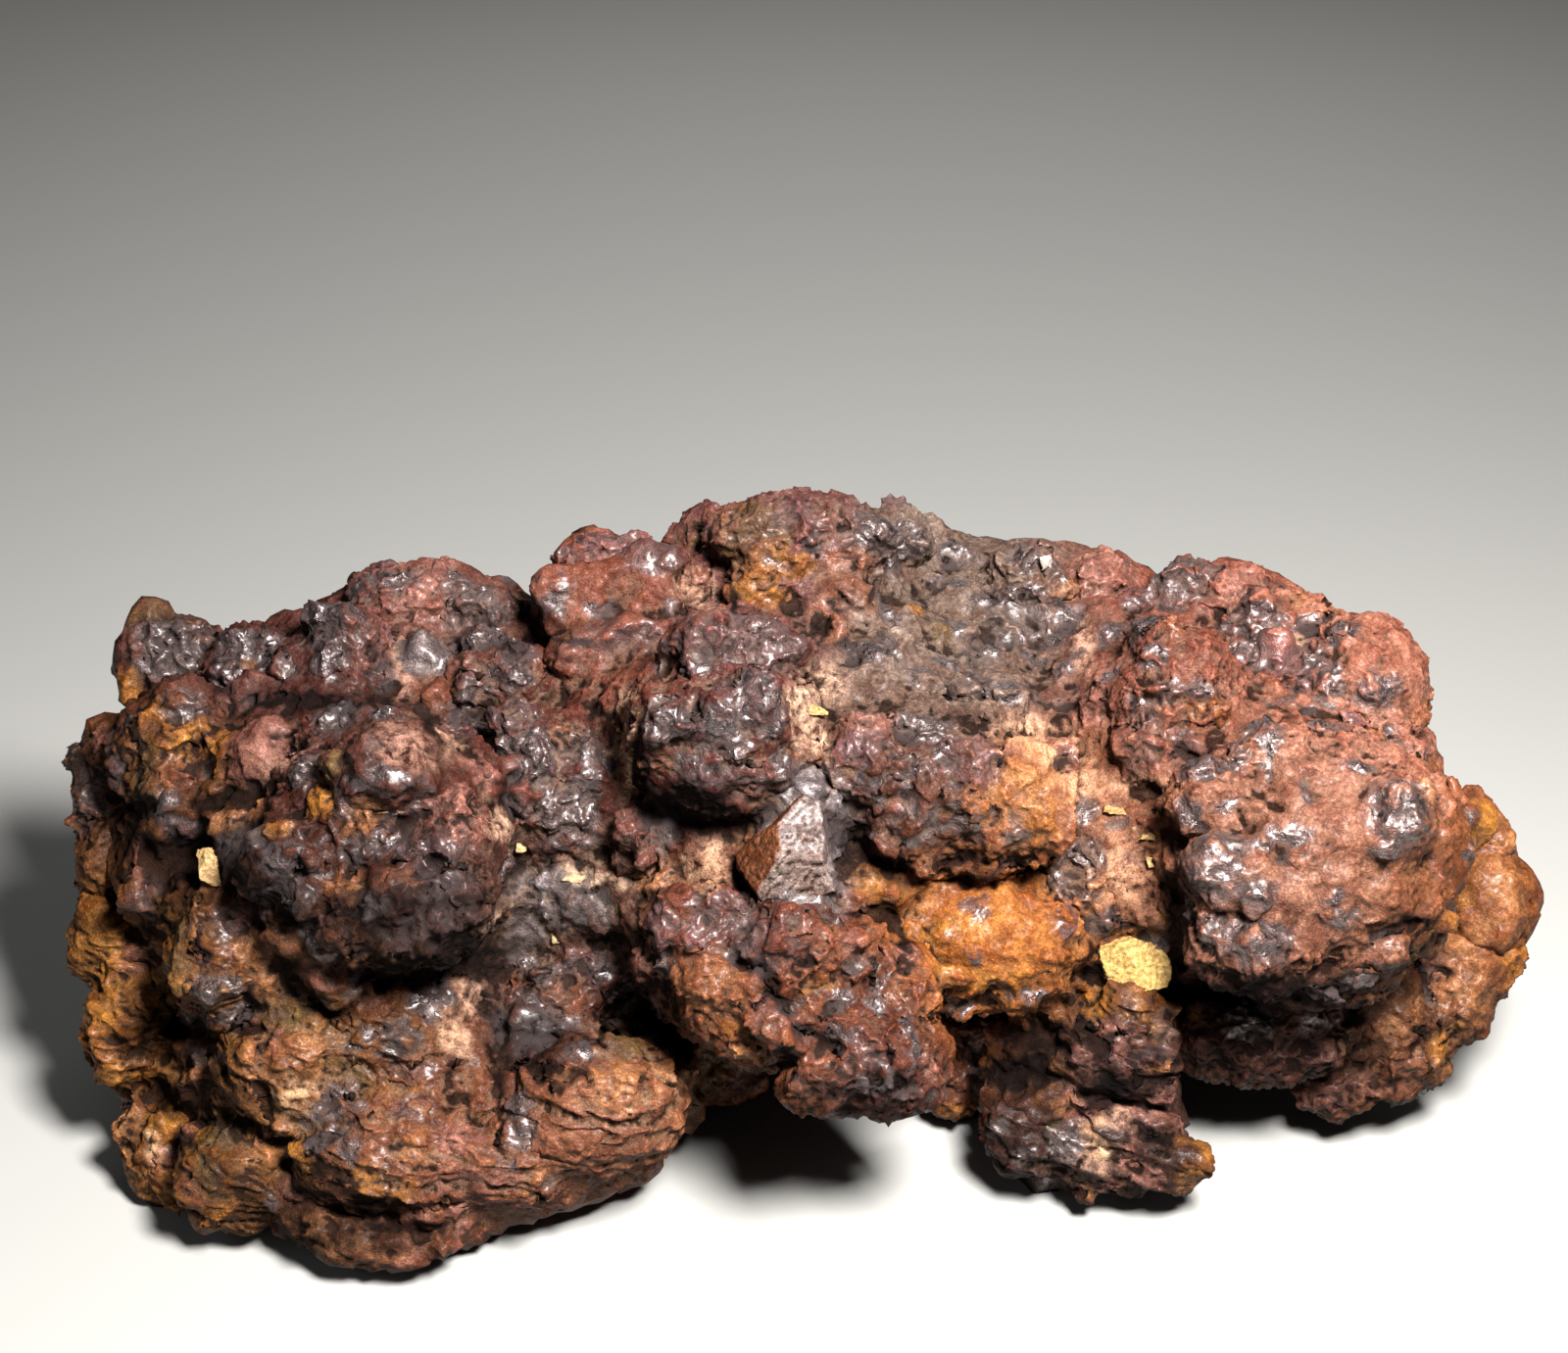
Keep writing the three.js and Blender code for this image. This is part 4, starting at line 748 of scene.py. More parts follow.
# crevices and hollows, pushed in and painted with shade: across, up, half width, half height, depth, roll
crevices = [
    (-62, -18.8, 3.4, 2.6, 7), (-57, -12.6, 2.8, 1, 3, 8), (-53.2, -11.6, 2, 0.5, 2, 10),
    (-64.8, -13.4, 1.6, 0.8, 2, -30), (-65.9, -8.5, 0.5, 3.4, 2), (-63.8, -25.6, 2.6, 1, 3, 10),
    (-59.4, -26.5, 0.5, 3, 2), (-57.4, -1.5, 1.8, 0.5, 1.5, -20), (-52, -2.6, 3.6, 0.6, 2.5, 8),
    (-47.5, -2.2, 2, 0.5, 2), (-43.5, -3.2, 1.6, 0.6, 2, 10), (-40, -2, 0.5, 0.8, 2),
    (-41.9, 0.9, 0.5, 1.2, 1.5, -40), (-36, -4.8, 2.6, 0.7, 2.5, -58), (-33.6, -3.6, 0.5, 0.9, 1.5),
    (-31.2, -3.9, 1.4, 0.6, 1.5), (-28, 2.8, 1.2, 1, 3, -20), (-33.2, 2.4, 0.6, 0.9, 1.5),
    (-26.2, 7, 3.6, 0.8, 3, -60), (-22.2, 3.6, 2.2, 0.5, 2, -5), (-10.6, 2.4, 0.4, 1.6, 2),
    (-18.4, -4, 2.2, 0.8, 3, -30), (-14.6, -9.5, 0.7, 4.6, 3), (-10, -13.6, 4.4, 2.6, 2.5),
    (-2.6, -14.2, 2.2, 0.9, 3, 20), (-32, -7.8, 1.8, 0.6, 1.5, -30), (-28.8, -10.8, 1.4, 0.6, 1.5, -20),
    (-28.2, -13.4, 0.7, 1.6, 2, 20), (-23.6, -18.4, 2.6, 0.5, 1.5), (-20.4, -21.9, 2.4, 0.5, 1.5, -3),
    (-16.8, -18, 0.5, 1.6, 1.5, 15), (-14.6, -20.3, 1.2, 0.4, 1.2), (-13.8, -22.4, 0.9, 0.6, 1.2, -40),
    (-13.8, -26.4, 0.6, 2, 3, 10), (-12.6, -35, 1.9, 3.6, 6, 8), (-37.5, -30.2, 8, 1.2, 5),
    (-31, -28, 2.6, 2.2, 5, 10), (-49.6, -24.8, 2.2, 0.7, 2, -20), (-52.2, -22.6, 1.8, 0.9, 3, -20),
    (-56, -20.6, 1, 1.4, 3), (-49.2, -19.8, 1.4, 0.6, 2, -10), (-50.8, -30, 1.8, 1, 2.5, -40),
    (-47.4, -33.6, 1.4, 0.8, 3), (-54.6, -33.6, 0.5, 2.4, 2.5, -10), (-54, -36.4, 1.6, 0.7, 3, -20),
    (-61, -36.2, 1.8, 0.7, 3, 10), (-62.2, -35, 0.5, 1.8, 2, 20), (-61.5, -43.4, 3.4, 1.3, 5, -15),
    (-58.6, -45.6, 1.4, 0.6, 3, 20), (-52.9, -44.6, 0.5, 2.6, 3, 20), (-50.6, -47, 1.6, 0.5, 2.5, -10),
    (-47.6, -47.8, 1.6, 0.6, 2, 30), (-46, -50.6, 1.8, 0.8, 2.5, -20), (-42.5, -54.2, 3.4, 0.9, 4),
    (-39, -56.2, 4, 1, 4, -5), (-61.8, -47.6, 1.2, 0.8, 3, -10), (-34, -40.6, 0.5, 1.4, 1.5),
    (-33, -43, 0.9, 0.5, 2, -30), (-31.8, -44.2, 0.4, 1.2, 1.5, 20), (-34.6, -44.4, 0.6, 0.4, 1.5),
    (-29.4, -40.8, 0.45, 3.8, 2, 15), (-28.6, -46.6, 0.4, 2, 2), (-25.4, -40, 3.6, 0.8, 2.5, -5),
    (-28.9, -37, 0.7, 2.2, 2, 10), (-23, -42.4, 0.4, 1.2, 2, -20), (-21.4, -41, 1.4, 0.5, 1.5, -15),
    (-19.6, -36.9, 2, 0.4, 1.5, -10), (-18, -34.3, 1.8, 0.4, 1.2, 10), (-3.2, -29.9, 2.4, 0.7, 3, -45),
    (-0.8, -32.8, 2, 0.8, 3, -35), (2.6, -36.2, 1.8, 0.7, 2.5, -35), (4.4, -37.7, 1.6, 0.6, 2.5, -40),
    (0.4, -38.6, 1.8, 0.5, 2, -20), (4.6, -34.1, 1.2, 0.4, 1.5, -20), (5, -36.4, 0.6, 0.6, 1.5),
    (10.2, -39, 0.7, 1.4, 2.5, 20), (11.6, -41.6, 1.2, 0.8, 2.5), (9.6, -41.2, 0.4, 1.6, 2, 30),
    (4.4, -13.6, 0.45, 2.4, 3, 10), (4.6, -16.4, 0.5, 1.6, 3), (7, -17.6, 1.8, 1.4, 3),
    (10.4, -19, 2.4, 0.6, 3, -8), (18.4, -18.6, 1.4, 0.7, 2), (19.4, -20.7, 2.2, 0.5, 2, -10),
    (23.4, -18.9, 2.4, 0.5, 2, 25), (12.6, -19, 0.5, 1, 2, 30), (-4.2, -21.2, 2.8, 0.5, 3, -55),
    (3.4, -21.2, 1.6, 0.5, 2, 15), (8.6, -24, 2.2, 0.6, 3, -5), (11.6, -26.4, 0.8, 1.8, 3, 30),
    (12.8, -29.3, 1, 0.4, 2, -30), (19.4, -4.5, 1.4, 0.45, 2.5), (19.6, -5.7, 1.8, 0.35, 2),
    (4, 4.6, 0.4, 1.2, 2, 10), (6.5, 2.6, 0.45, 1.4, 2.5, -15), (8.9, 8.4, 0.4, 0.9, 2),
    (-5, 7.8, 0.4, 1.6, 2, 5), (2.7, 13, 0.4, 1.2, 1.5, 30), (6.6, 11.9, 1, 0.3, 1.2, -30),
    (6.8, 8.9, 1.6, 0.25, 1.2, -5), (5.4, 7.2, 1.4, 0.25, 1.2, -45), (28.9, -3.4, 2.4, 0.35, 1.5, 45),
    (37.4, -11.4, 2, 0.9, 3.5), (39.4, -16.4, 0.7, 1.8, 3.5, 25), (41.4, -8.2, 1.3, 0.8, 3, 15),
    (43.6, -7.3, 1.4, 0.4, 2, 15), (39.9, -23, 0.7, 4, 3.5, -5), (39.9, -29, 0.8, 2.6, 4, 5),
    (34.4, -24.8, 1.6, 0.5, 2.5, -10), (31.6, -28.2, 0.5, 0.9, 2), (47.6, -2, 0.8, 0.8, 2, -30),
    (50.4, -3.7, 1.4, 0.4, 1.5, -20), (50.3, -13, 1.6, 0.6, 1.6, -35), (47.8, -12.2, 0.7, 0.35, 1.5, -30),
    (59.2, -12.2, 0.7, 0.35, 1.2, 15), (62.6, -25.4, 2.6, 0.6, 3, 20), (64.6, -28.4, 0.5, 1.6, 2.5, 20),
    (65.7, -31.4, 0.5, 2.4, 2.5, 15), (58.2, -34.4, 1.1, 1.2, 3.5), (48.5, -31.7, 6, 0.8, 3),
    (56, -29.4, 2, 0.5, 2.5, 15), (64.9, -36.3, 0.8, 0.7, 2), (67, -30.8, 0.8, 0.35, 1),
    (64.4, -38, 0.35, 0.9, 1.5), (33.2, -42.4, 1.7, 2, 4), (36.6, -41, 2.4, 0.45, 2.5, 8),
    (31.4, -37.4, 0.45, 2.6, 2.5, 25), (38, -46.9, 1.8, 0.5, 2.5, -15), (38.2, -48.5, 1, 0.4, 1.5),
    (26.8, -47.8, 0.45, 1.4, 1.5), (26.2, -36.8, 2.8, 1.6, 3.5, -15), (24, -40.6, 3.6, 1.6, 4.5),
    (34.6, -36.2, 2, 0.35, 1.5, 8), (67, -14.4, 0.3, 1.6, 0.8, 10), (36, -22, 1.4, 0.35, 1.2, -25),
]
crevices = [entry if len(entry) == 6 else (*entry, 0) for entry in crevices]


def strayed(spots, size, amount):  # points pushed about by a smooth noise, mm
    return spots + np.array([noise_vector(Vector(spot) / (size * mm)) for spot in spots]) * amount * mm


opening = {
    "rim": 1.6,  # how far a crevice reaches past its listed oval
    "share": 0.45,  # of the listed depth
    "shape": 1.3,
    "sightSlack": 1.2,  # mm
    "smoothing": 1,
}
wander = (1.8, 1.4)  # size and amount by which listed ovals lose their even edges, mm


def openCrevices(piece):
    spots = placesOf(piece)
    across, up = onFace(strayed(spots, *wander))
    surface = surfaceOf(piece)
    push = np.zeros(len(spots))
    for *oval, depth, roll in crevices:
        along, over = ovalPlaces((*oval, roll), across, up, opening["rim"])
        inside = np.flatnonzero(along ** 2 + over ** 2 < 1)
        if not len(inside):
            continue
        inside = inside[inSight(surface, spots[inside], opening["sightSlack"])]
        fall = (1 - along[inside] ** 2 - over[inside] ** 2) ** opening["shape"]
        push[inside] = np.maximum(push[inside], fall * depth * opening["share"])
    rays = spots - np.array(eye)
    rays /= np.linalg.norm(rays, axis=1)[:, None]
    setPlaces(piece, spots + rays * push[:, None] * mm)
    resurface(piece, voxelOf(piece), opening["smoothing"])


# grown skin: size of each pattern and how far it lifts, mm
crumpled = {"noise_depth": 1, "noise_type": "HARD_NOISE"}
skin = {
    "waves": {"size": 7.0, "height": 1.3, "kind": "CLOUDS", "look": {"noise_depth": 2}},
    "domes": {
        "size": 4.6, "height": -1.2, "kind": "VORONOI", "look": {"distance_metric": "DISTANCE_SQUARED"},
    },
    "folds": {"size": 4.6, "height": -1.5, "kind": "CLOUDS", "look": crumpled},
    "chips": {
        "size": 1.9, "height": 0.35, "kind": "DISTORTED_NOISE",
        "look": {"noise_basis": "VORONOI_F2_F1", "noise_distortion": "BLENDER_ORIGINAL", "distortion": 0.8},
    },
    "crinkle": {"size": 0.9, "height": 0.3, "kind": "CLOUDS", "look": crumpled},
}
skinLevel = 0.4  # the pattern value that leaves the surface where it is
brokenSkin = {"folds": -0.3, "chips": 0.14, "crinkle": 0.16}  # height on the crystal and the crumbs, mm
beds = {"scale": (2.6, 2.6, 0.7), "tilt": 14}
calm = [  # where the skin lies flatter: across, up, half width, half height, share left, roll
    (-18.4, 8.2, 8.4, 4.2, 0.7, 12), (-17.4, 2.6, 6.6, 3.4, 0.7, 8), (70, -22, 7, 14, 0.6, 0),
    (64, 2, 8, 8, 0.7, -40), (20, -26, 9, 7, 0.45, 0), (-37, 1.4, 2.8, 3.2, 0.3, 0),
    (-47.4, -28.8, 3, 4.6, 0.4, 40), (54, -18, 14, 12, 0.6, 0), (25, -12, 5, 5, 0.6, 0),
]
patterns = {}
for name, values in skin.items():
    patterns[name] = bpy.data.textures.new(name, values["kind"])
    patterns[name].noise_scale = values["size"] * mm
    for key, value in values["look"].items():
        setattr(patterns[name], key, value)

bedding = bpy.data.objects.new("bedding", None)  # the feet are built in thin beds
bedding.scale = beds["scale"]
bedding.rotation_euler = (0, math.radians(beds["tilt"]), 0)
scene.collection.objects.link(bedding)
bpy.context.view_layer.update()


def weigh(piece, name, weights):  # a vertex group from an array of weights, to the nearest tenth
    group = piece.vertex_groups.new(name=name)
    steps = np.round(weights * 10).astype(int)
    for step in np.unique(steps):
        group.add(np.flatnonzero(steps == step).tolist(), float(step) / 10, "REPLACE")


def growSkin(piece):
    across, up = onFace(placesOf(piece))
    lively = np.ones(len(across))
    for x, y, halfWidth, halfHeight, share, roll in calm:
        inner = np.clip(within((x, y, halfWidth, halfHeight, roll), across, up) * 4, 0, 1)
        lively = np.minimum(lively, 1 - inner * (1 - share))
    weigh(piece, "skin", lively)
    for name, values in skin.items():
        bedded = piece is pieces["feet"] and name not in ("waves", "domes")
        useModifier(piece, "DISPLACE", texture=patterns[name], texture_coords="OBJECT" if bedded else "LOCAL",
                    texture_coords_object=bedding if bedded else None,
                    strength=values["height"] * mm, mid_level=skinLevel, vertex_group="skin")
    piece.vertex_groups.clear()
    spots = placesOf(piece)
    spots[:, 2] = np.where(spots[:, 2] < stone["settled"], 0, spots[:, 2])
    setPlaces(piece, spots)


def thin(piece):  # fewest triangles inside the stone, most where the face is looked at
    useModifier(piece, "TRIANGULATE")
    share = stone["triangles"] / len(piece.data.polygons)
    if share >= 1:
        return
    spots = placesOf(piece)
    weights = np.where(inSight(formSurface, spots, stone["seenDepth"]), 0, 0.5)
    for i, spot in enumerate(spots):
        place, out, _, _ = formSurface.find_nearest(Vector(spot))
        if (Vector(spot) - place).dot(out) < -stone["hiddenDepth"] * mm:
            weights[i] = 1
    weigh(piece, "thinning", weights)
    useModifier(piece, "DECIMATE", ratio=share, vertex_group="thinning",
                vertex_group_factor=stone["frontFavour"])
    piece.vertex_groups.clear()


for name, piece in pieces.items():
    openCrevices(piece)
    growSkin(piece)
    thin(piece)
    only(piece)
    bpy.ops.object.shade_smooth()
    print(name + ":", len(piece.data.polygons), "triangles")
for piece in (crystalPiece, *crumbPieces.values()):
    for name, height in brokenSkin.items():
        useModifier(piece, "DISPLACE", texture=patterns[name], texture_coords="LOCAL", strength=height * mm,
                    mid_level=0.5 if name == "crinkle" else skinLevel)
    only(piece)
    bpy.ops.object.shade_smooth()
bpy.data.objects.remove(form)
bpy.data.objects.remove(bedding)

# where each finish lies
tones = {  # crust colour, how much lustre its top has, how far it differs from the crust about it
    "silver": ((0.03, 0.013, 0.012), 1.0, 0.5),
    "dark": ((0.012, 0.007, 0.006), 0.4, 0.8),
    "maroon": ((0.052, 0.015, 0.012), 0.45, 0.75),
    "red": ((0.1, 0.031, 0.018), 0.25, 0.65),
    "rust": ((0.165, 0.056, 0.02), 0.12, 0.6),
    "mauve": ((0.13, 0.05, 0.055), 0.5, 0.7),
    "grey": ((0.055, 0.045, 0.043), 0.6, 0.75),
    "pink": ((0.23, 0.1, 0.075), 0.1, 0.55),
    "tan": ((0.28, 0.125, 0.045), 0.08, 0.6),
    "ochre": ((0.24, 0.1, 0.012), 0.08, 0.8),
    "olive": ((0.08, 0.048, 0.012), 0.12, 0.85),
    "cream": ((0.5, 0.36, 0.22), 0.0, 1.0),
    "slate": ((0.13, 0.125, 0.135), 0.6, 0.9),
}
zones = [  # across, up, reach, crust between the knobs, dust colour, dust share
    (-52, 0, 14, (0.05, 0.018, 0.014), (0.3, 0.17, 0.13), 0.4),
    (-62, -10, 8, (0.072, 0.03, 0.01), (0.34, 0.18, 0.08), 0.3),
    (-42, -18, 14, (0.032, 0.011, 0.007), (0.26, 0.13, 0.09), 0.3),
    (-34, 4, 8, (0.086, 0.036, 0.026), (0.34, 0.19, 0.13), 0.8),
    (-24, -10, 10, (0.058, 0.018, 0.013), (0.42, 0.27, 0.18), 0.7),
    (-24, -24, 8, (0.072, 0.042, 0.031), (0.48, 0.34, 0.24), 0.8),
    (-16, 6, 8, (0.13, 0.046, 0.028), (0.44, 0.25, 0.16), 0.6),
    (-3, 12, 10, (0.09, 0.038, 0.034), (0.46, 0.28, 0.2), 0.5),
    (-37, 8, 5, (0.2, 0.09, 0.075), (0.5, 0.32, 0.25), 0.6),
    (-6, -4, 10, (0.05, 0.014, 0.011), (0.46, 0.3, 0.2), 0.5),
    (4, -14, 8, (0.065, 0.027, 0.018), (0.46, 0.3, 0.2), 0.7),
    (18, 5, 12, (0.12, 0.092, 0.075), (0.44, 0.3, 0.22), 0.6),
    (14, -11, 9, (0.05, 0.018, 0.012), (0.36, 0.2, 0.12), 0.4),
    (25, -12, 6, (0.27, 0.105, 0.03), (0.46, 0.24, 0.12), 0.5),
    (20, -27, 9, (0.25, 0.092, 0.02), (0.46, 0.24, 0.1), 0.4),
    (33, -14, 8, (0.15, 0.06, 0.03), (0.38, 0.21, 0.13), 0.8),
    (38, 3, 11, (0.13, 0.046, 0.03), (0.4, 0.22, 0.15), 0.6),
    (54, 2, 8, (0.21, 0.086, 0.056), (0.42, 0.25, 0.17), 0.5),
    (60, -8, 7, (0.22, 0.1, 0.07), (0.44, 0.28, 0.2), 0.5),
    (52, -18, 14, (0.165, 0.08, 0.052), (0.4, 0.2, 0.11), 0.35),
    (70, -20, 10, (0.12, 0.043, 0.013), (0.36, 0.18, 0.08), 0.3),
    (50, -36, 9, (0.05, 0.018, 0.011), (0.3, 0.15, 0.09), 0.3),
    (63, -36, 8, (0.06, 0.024, 0.01), (0.4, 0.2, 0.1), 0.5),
    (0, -30, 12, (0.085, 0.027, 0.015), (0.34, 0.19, 0.11), 0.4),
    (-4, -38, 8, (0.13, 0.048, 0.016), (0.38, 0.21, 0.11), 0.5),
    (10, -38, 8, (0.058, 0.018, 0.011), (0.3, 0.16, 0.1), 0.3),
    (-22, -33, 8, (0.036, 0.013, 0.009), (0.36, 0.21, 0.15), 0.4),
    (-18, -43, 8, (0.13, 0.054, 0.029), (0.4, 0.24, 0.15), 0.7),
    (-66, -35, 9, (0.14, 0.062, 0.014), (0.4, 0.2, 0.08), 0.5),
    (-48, -36, 11, (0.085, 0.038, 0.013), (0.4, 0.24, 0.14), 0.6),
    (-56, -48, 9, (0.11, 0.05, 0.013), (0.42, 0.25, 0.12), 0.6),
    (-36, -50, 12, (0.108, 0.042, 0.021), (0.42, 0.25, 0.16), 0.7),
    (-45, -59, 7, (0.07, 0.034, 0.016), (0.4, 0.25, 0.17), 0.4),
    (33, -43, 11, (0.028, 0.013, 0.009), (0.34, 0.2, 0.14), 0.3),
]
rivers = [  # dust lying open: across, up, half width, half height, roll
    (-16.5, -4.5, 1.2, 3.6, -8), (-15.8, -10, 1, 3, 5), (1.8, -2.6, 3, 1.8, 0), (4.6, -1, 2.2, 2.4, 0),
    (3, -6.6, 1.8, 3, 15), (-9, 9, 2, 2.6, 40), (-32.4, -32.4, 1.6, 2.8, 5), (-33.6, -36.6, 1.4, 2.6, 15),
    (-29, -15.5, 1.8, 1.8, 0), (-8, -20, 2.4, 1.8, 0), (-7, -17.6, 2.4, 1.2, 10), (-28, -25, 2.6, 1.6, 30),
    (-20.6, -20.8, 4.6, 1.1, -3), (-39, -7, 3.6, 2.4, -40), (-52, -8, 3.6, 2.2, 15),
    (27.6, -7.6, 3.6, 2, 0), (30, -11, 3, 3, 0), (34, -20, 3, 3.6, 20), (36, -11, 3.4, 1.4, 10),
    (25, -5, 3, 1, 0), (-39.4, 1, 1.4, 3.6, 10), (-34, -6.4, 2.4, 1.2, -50), (4.8, -12, 1, 2, 10),
    (9.4, -23.6, 1.8, 0.7, 0), (30.6, 3.6, 1.2, 3.2, 10), (-50, -43, 3.4, 1.6, 10), (-40, -45, 3, 1.2, 15),
    (-10, -41, 2.2, 1.6, 0), (34, -45, 3, 1.4, 0), (31, -49, 2.2, 1.6, 0), (-20, 3.6, 2, 0.6, 0),
    (-62, -19, 2.2, 1, 0), (-56.8, -21.6, 1.2, 1.6, 0),
]

paintedShadows = [  # painted shadows, where shade falls under and between the lumps: across, up, half width, half height, how dark, roll
    (-38, -25, 10, 5.5, 0.85, 0), (-33, -29.5, 6, 2.5, 0.9, 0), (-57, -18, 5, 3.5, 0.75, 0),
    (-63, -20, 5, 7, 0.5, 0), (-66, -16, 5, 4, 0.6, 0), (-70, -12, 3, 6, 0.5, 0), (-53, -22, 3, 3, 0.7, 0),
    (-63, -37, 6, 3, 0.6, 0), (-61, -43, 5, 2.4, 0.8, 0), (-56, -45, 3, 4, 0.5, 0),
    (-48, -2.4, 7, 1.2, 0.7, 0), (-50, -53, 10, 3.5, 0.65, -10), (-45, -57, 12, 3, 0.65, 0),
    (-26, -37.5, 4.6, 2.6, 0.85, 0), (-25, 4, 1.5, 4, 0.5, -30), (-14.5, -8, 1.2, 4.5, 0.6, 0),
    (-9.5, -13.5, 6, 2.6, 0.95, -8), (-13, -34, 3.2, 5, 0.85, 15), (3, -43, 13, 3, 0.65, 0),
    (6.5, -16, 2.8, 3.6, 0.85, 0), (9, -20, 5, 1.4, 0.7, -15), (18, -4.4, 3, 1.6, 0.4, 0),
    (19, -19.5, 5, 1.2, 0.6, 0), (26, -38.5, 5, 4, 0.85, 0), (33, -42.4, 3, 2.2, 0.75, 0),
    (37, -40, 3, 3.4, 0.6, 0), (36.5, -10.8, 2.4, 1.3, 0.6, 0), (41.5, -7.5, 2.4, 1.6, 0.5, 0),
    (40, -24, 1.8, 7, 0.9, 0), (50, -32.5, 11, 2.6, 0.95, 0), (50, -38.5, 10, 2.4, 0.6, 0),
    (65, -29, 2, 5, 0.6, -15), (58, -41, 5, 3.5, 0.5, 0), (-68, -44, 4, 4, 0.5, 0),
]

# colours laid on the stone, with painted shade in its hollows, crevices and undersides and paler crests
finishAndShade = {
    "seenDepth": 2.5,  # mm
    "rounds": (6, 30, 160),  # smoothing rounds that find fine, middling and broad hollows
    "tintStray": (1.5, 0.9),  # size and amount, mm
    "zoneFalloff": 1.5,
    "knobReach": 1.5,  # in the knob's half sizes
    "knobSearch": 1.6,
    "knobFade": 0.5,
    "crown": (0.35, 0.2, 0.7),  # lean of the lustrous top, where it starts, how soft its edge is
    "underside": (0.75, 0.8, 0.3),  # painted shade on faces turned down: brightness of a wall, gain with its slope, least
    "riverRim": 1.3,
    "riverFill": 1.3,
    "riverShore": 1.25,  # cover by knobs at which no dust lies
    "creviceRim": 1.45,
    "creviceFill": 2.2,
    "creviceSearch": 2.2,
    "shadowRim": 1.25,
    "shadowFill": 1.8,
    "blackDepth": 2,  # mm of depth from which a crevice's painted shade is black
    "crestGain": 0.55,
    "broadDepth": 1.1,  # mm
    "broadStart": 0.3,
    "broadShade": 0.7,
    "hollowStart": 0.1,
    "hollowShade": 1.1,
    "dustRelief": 0.8,
    "dustFill": 1.2,
    "pitShape": 1.5,
    "loud": 90,  # percentile of the hollows that counts as full depth
}


def layOn(piece, name, values):
    kind = "FLOAT" if values.ndim == 1 else "FLOAT_COLOR"
    layer = piece.data.attributes.new(name, kind, "POINT")
    if kind == "FLOAT":
        layer.data.foreach_set("value", values.astype(np.float32))
    else:
        colours = np.column_stack([values, np.ones(len(values))]).astype(np.float32)
        layer.data.foreach_set("color", colours.ravel())


def hollowsOf(piece, iterations):  # how deep each point lies under its smoothed surroundings, mm
    copy = copyOf(piece, "smoothed")
    useModifier(copy, "SMOOTH", factor=0.9, iterations=iterations)
    depth = np.einsum("ij,ij->i", placesOf(copy) - placesOf(piece), normalsOf(piece)) / mm
    bpy.data.objects.remove(copy)
    return depth


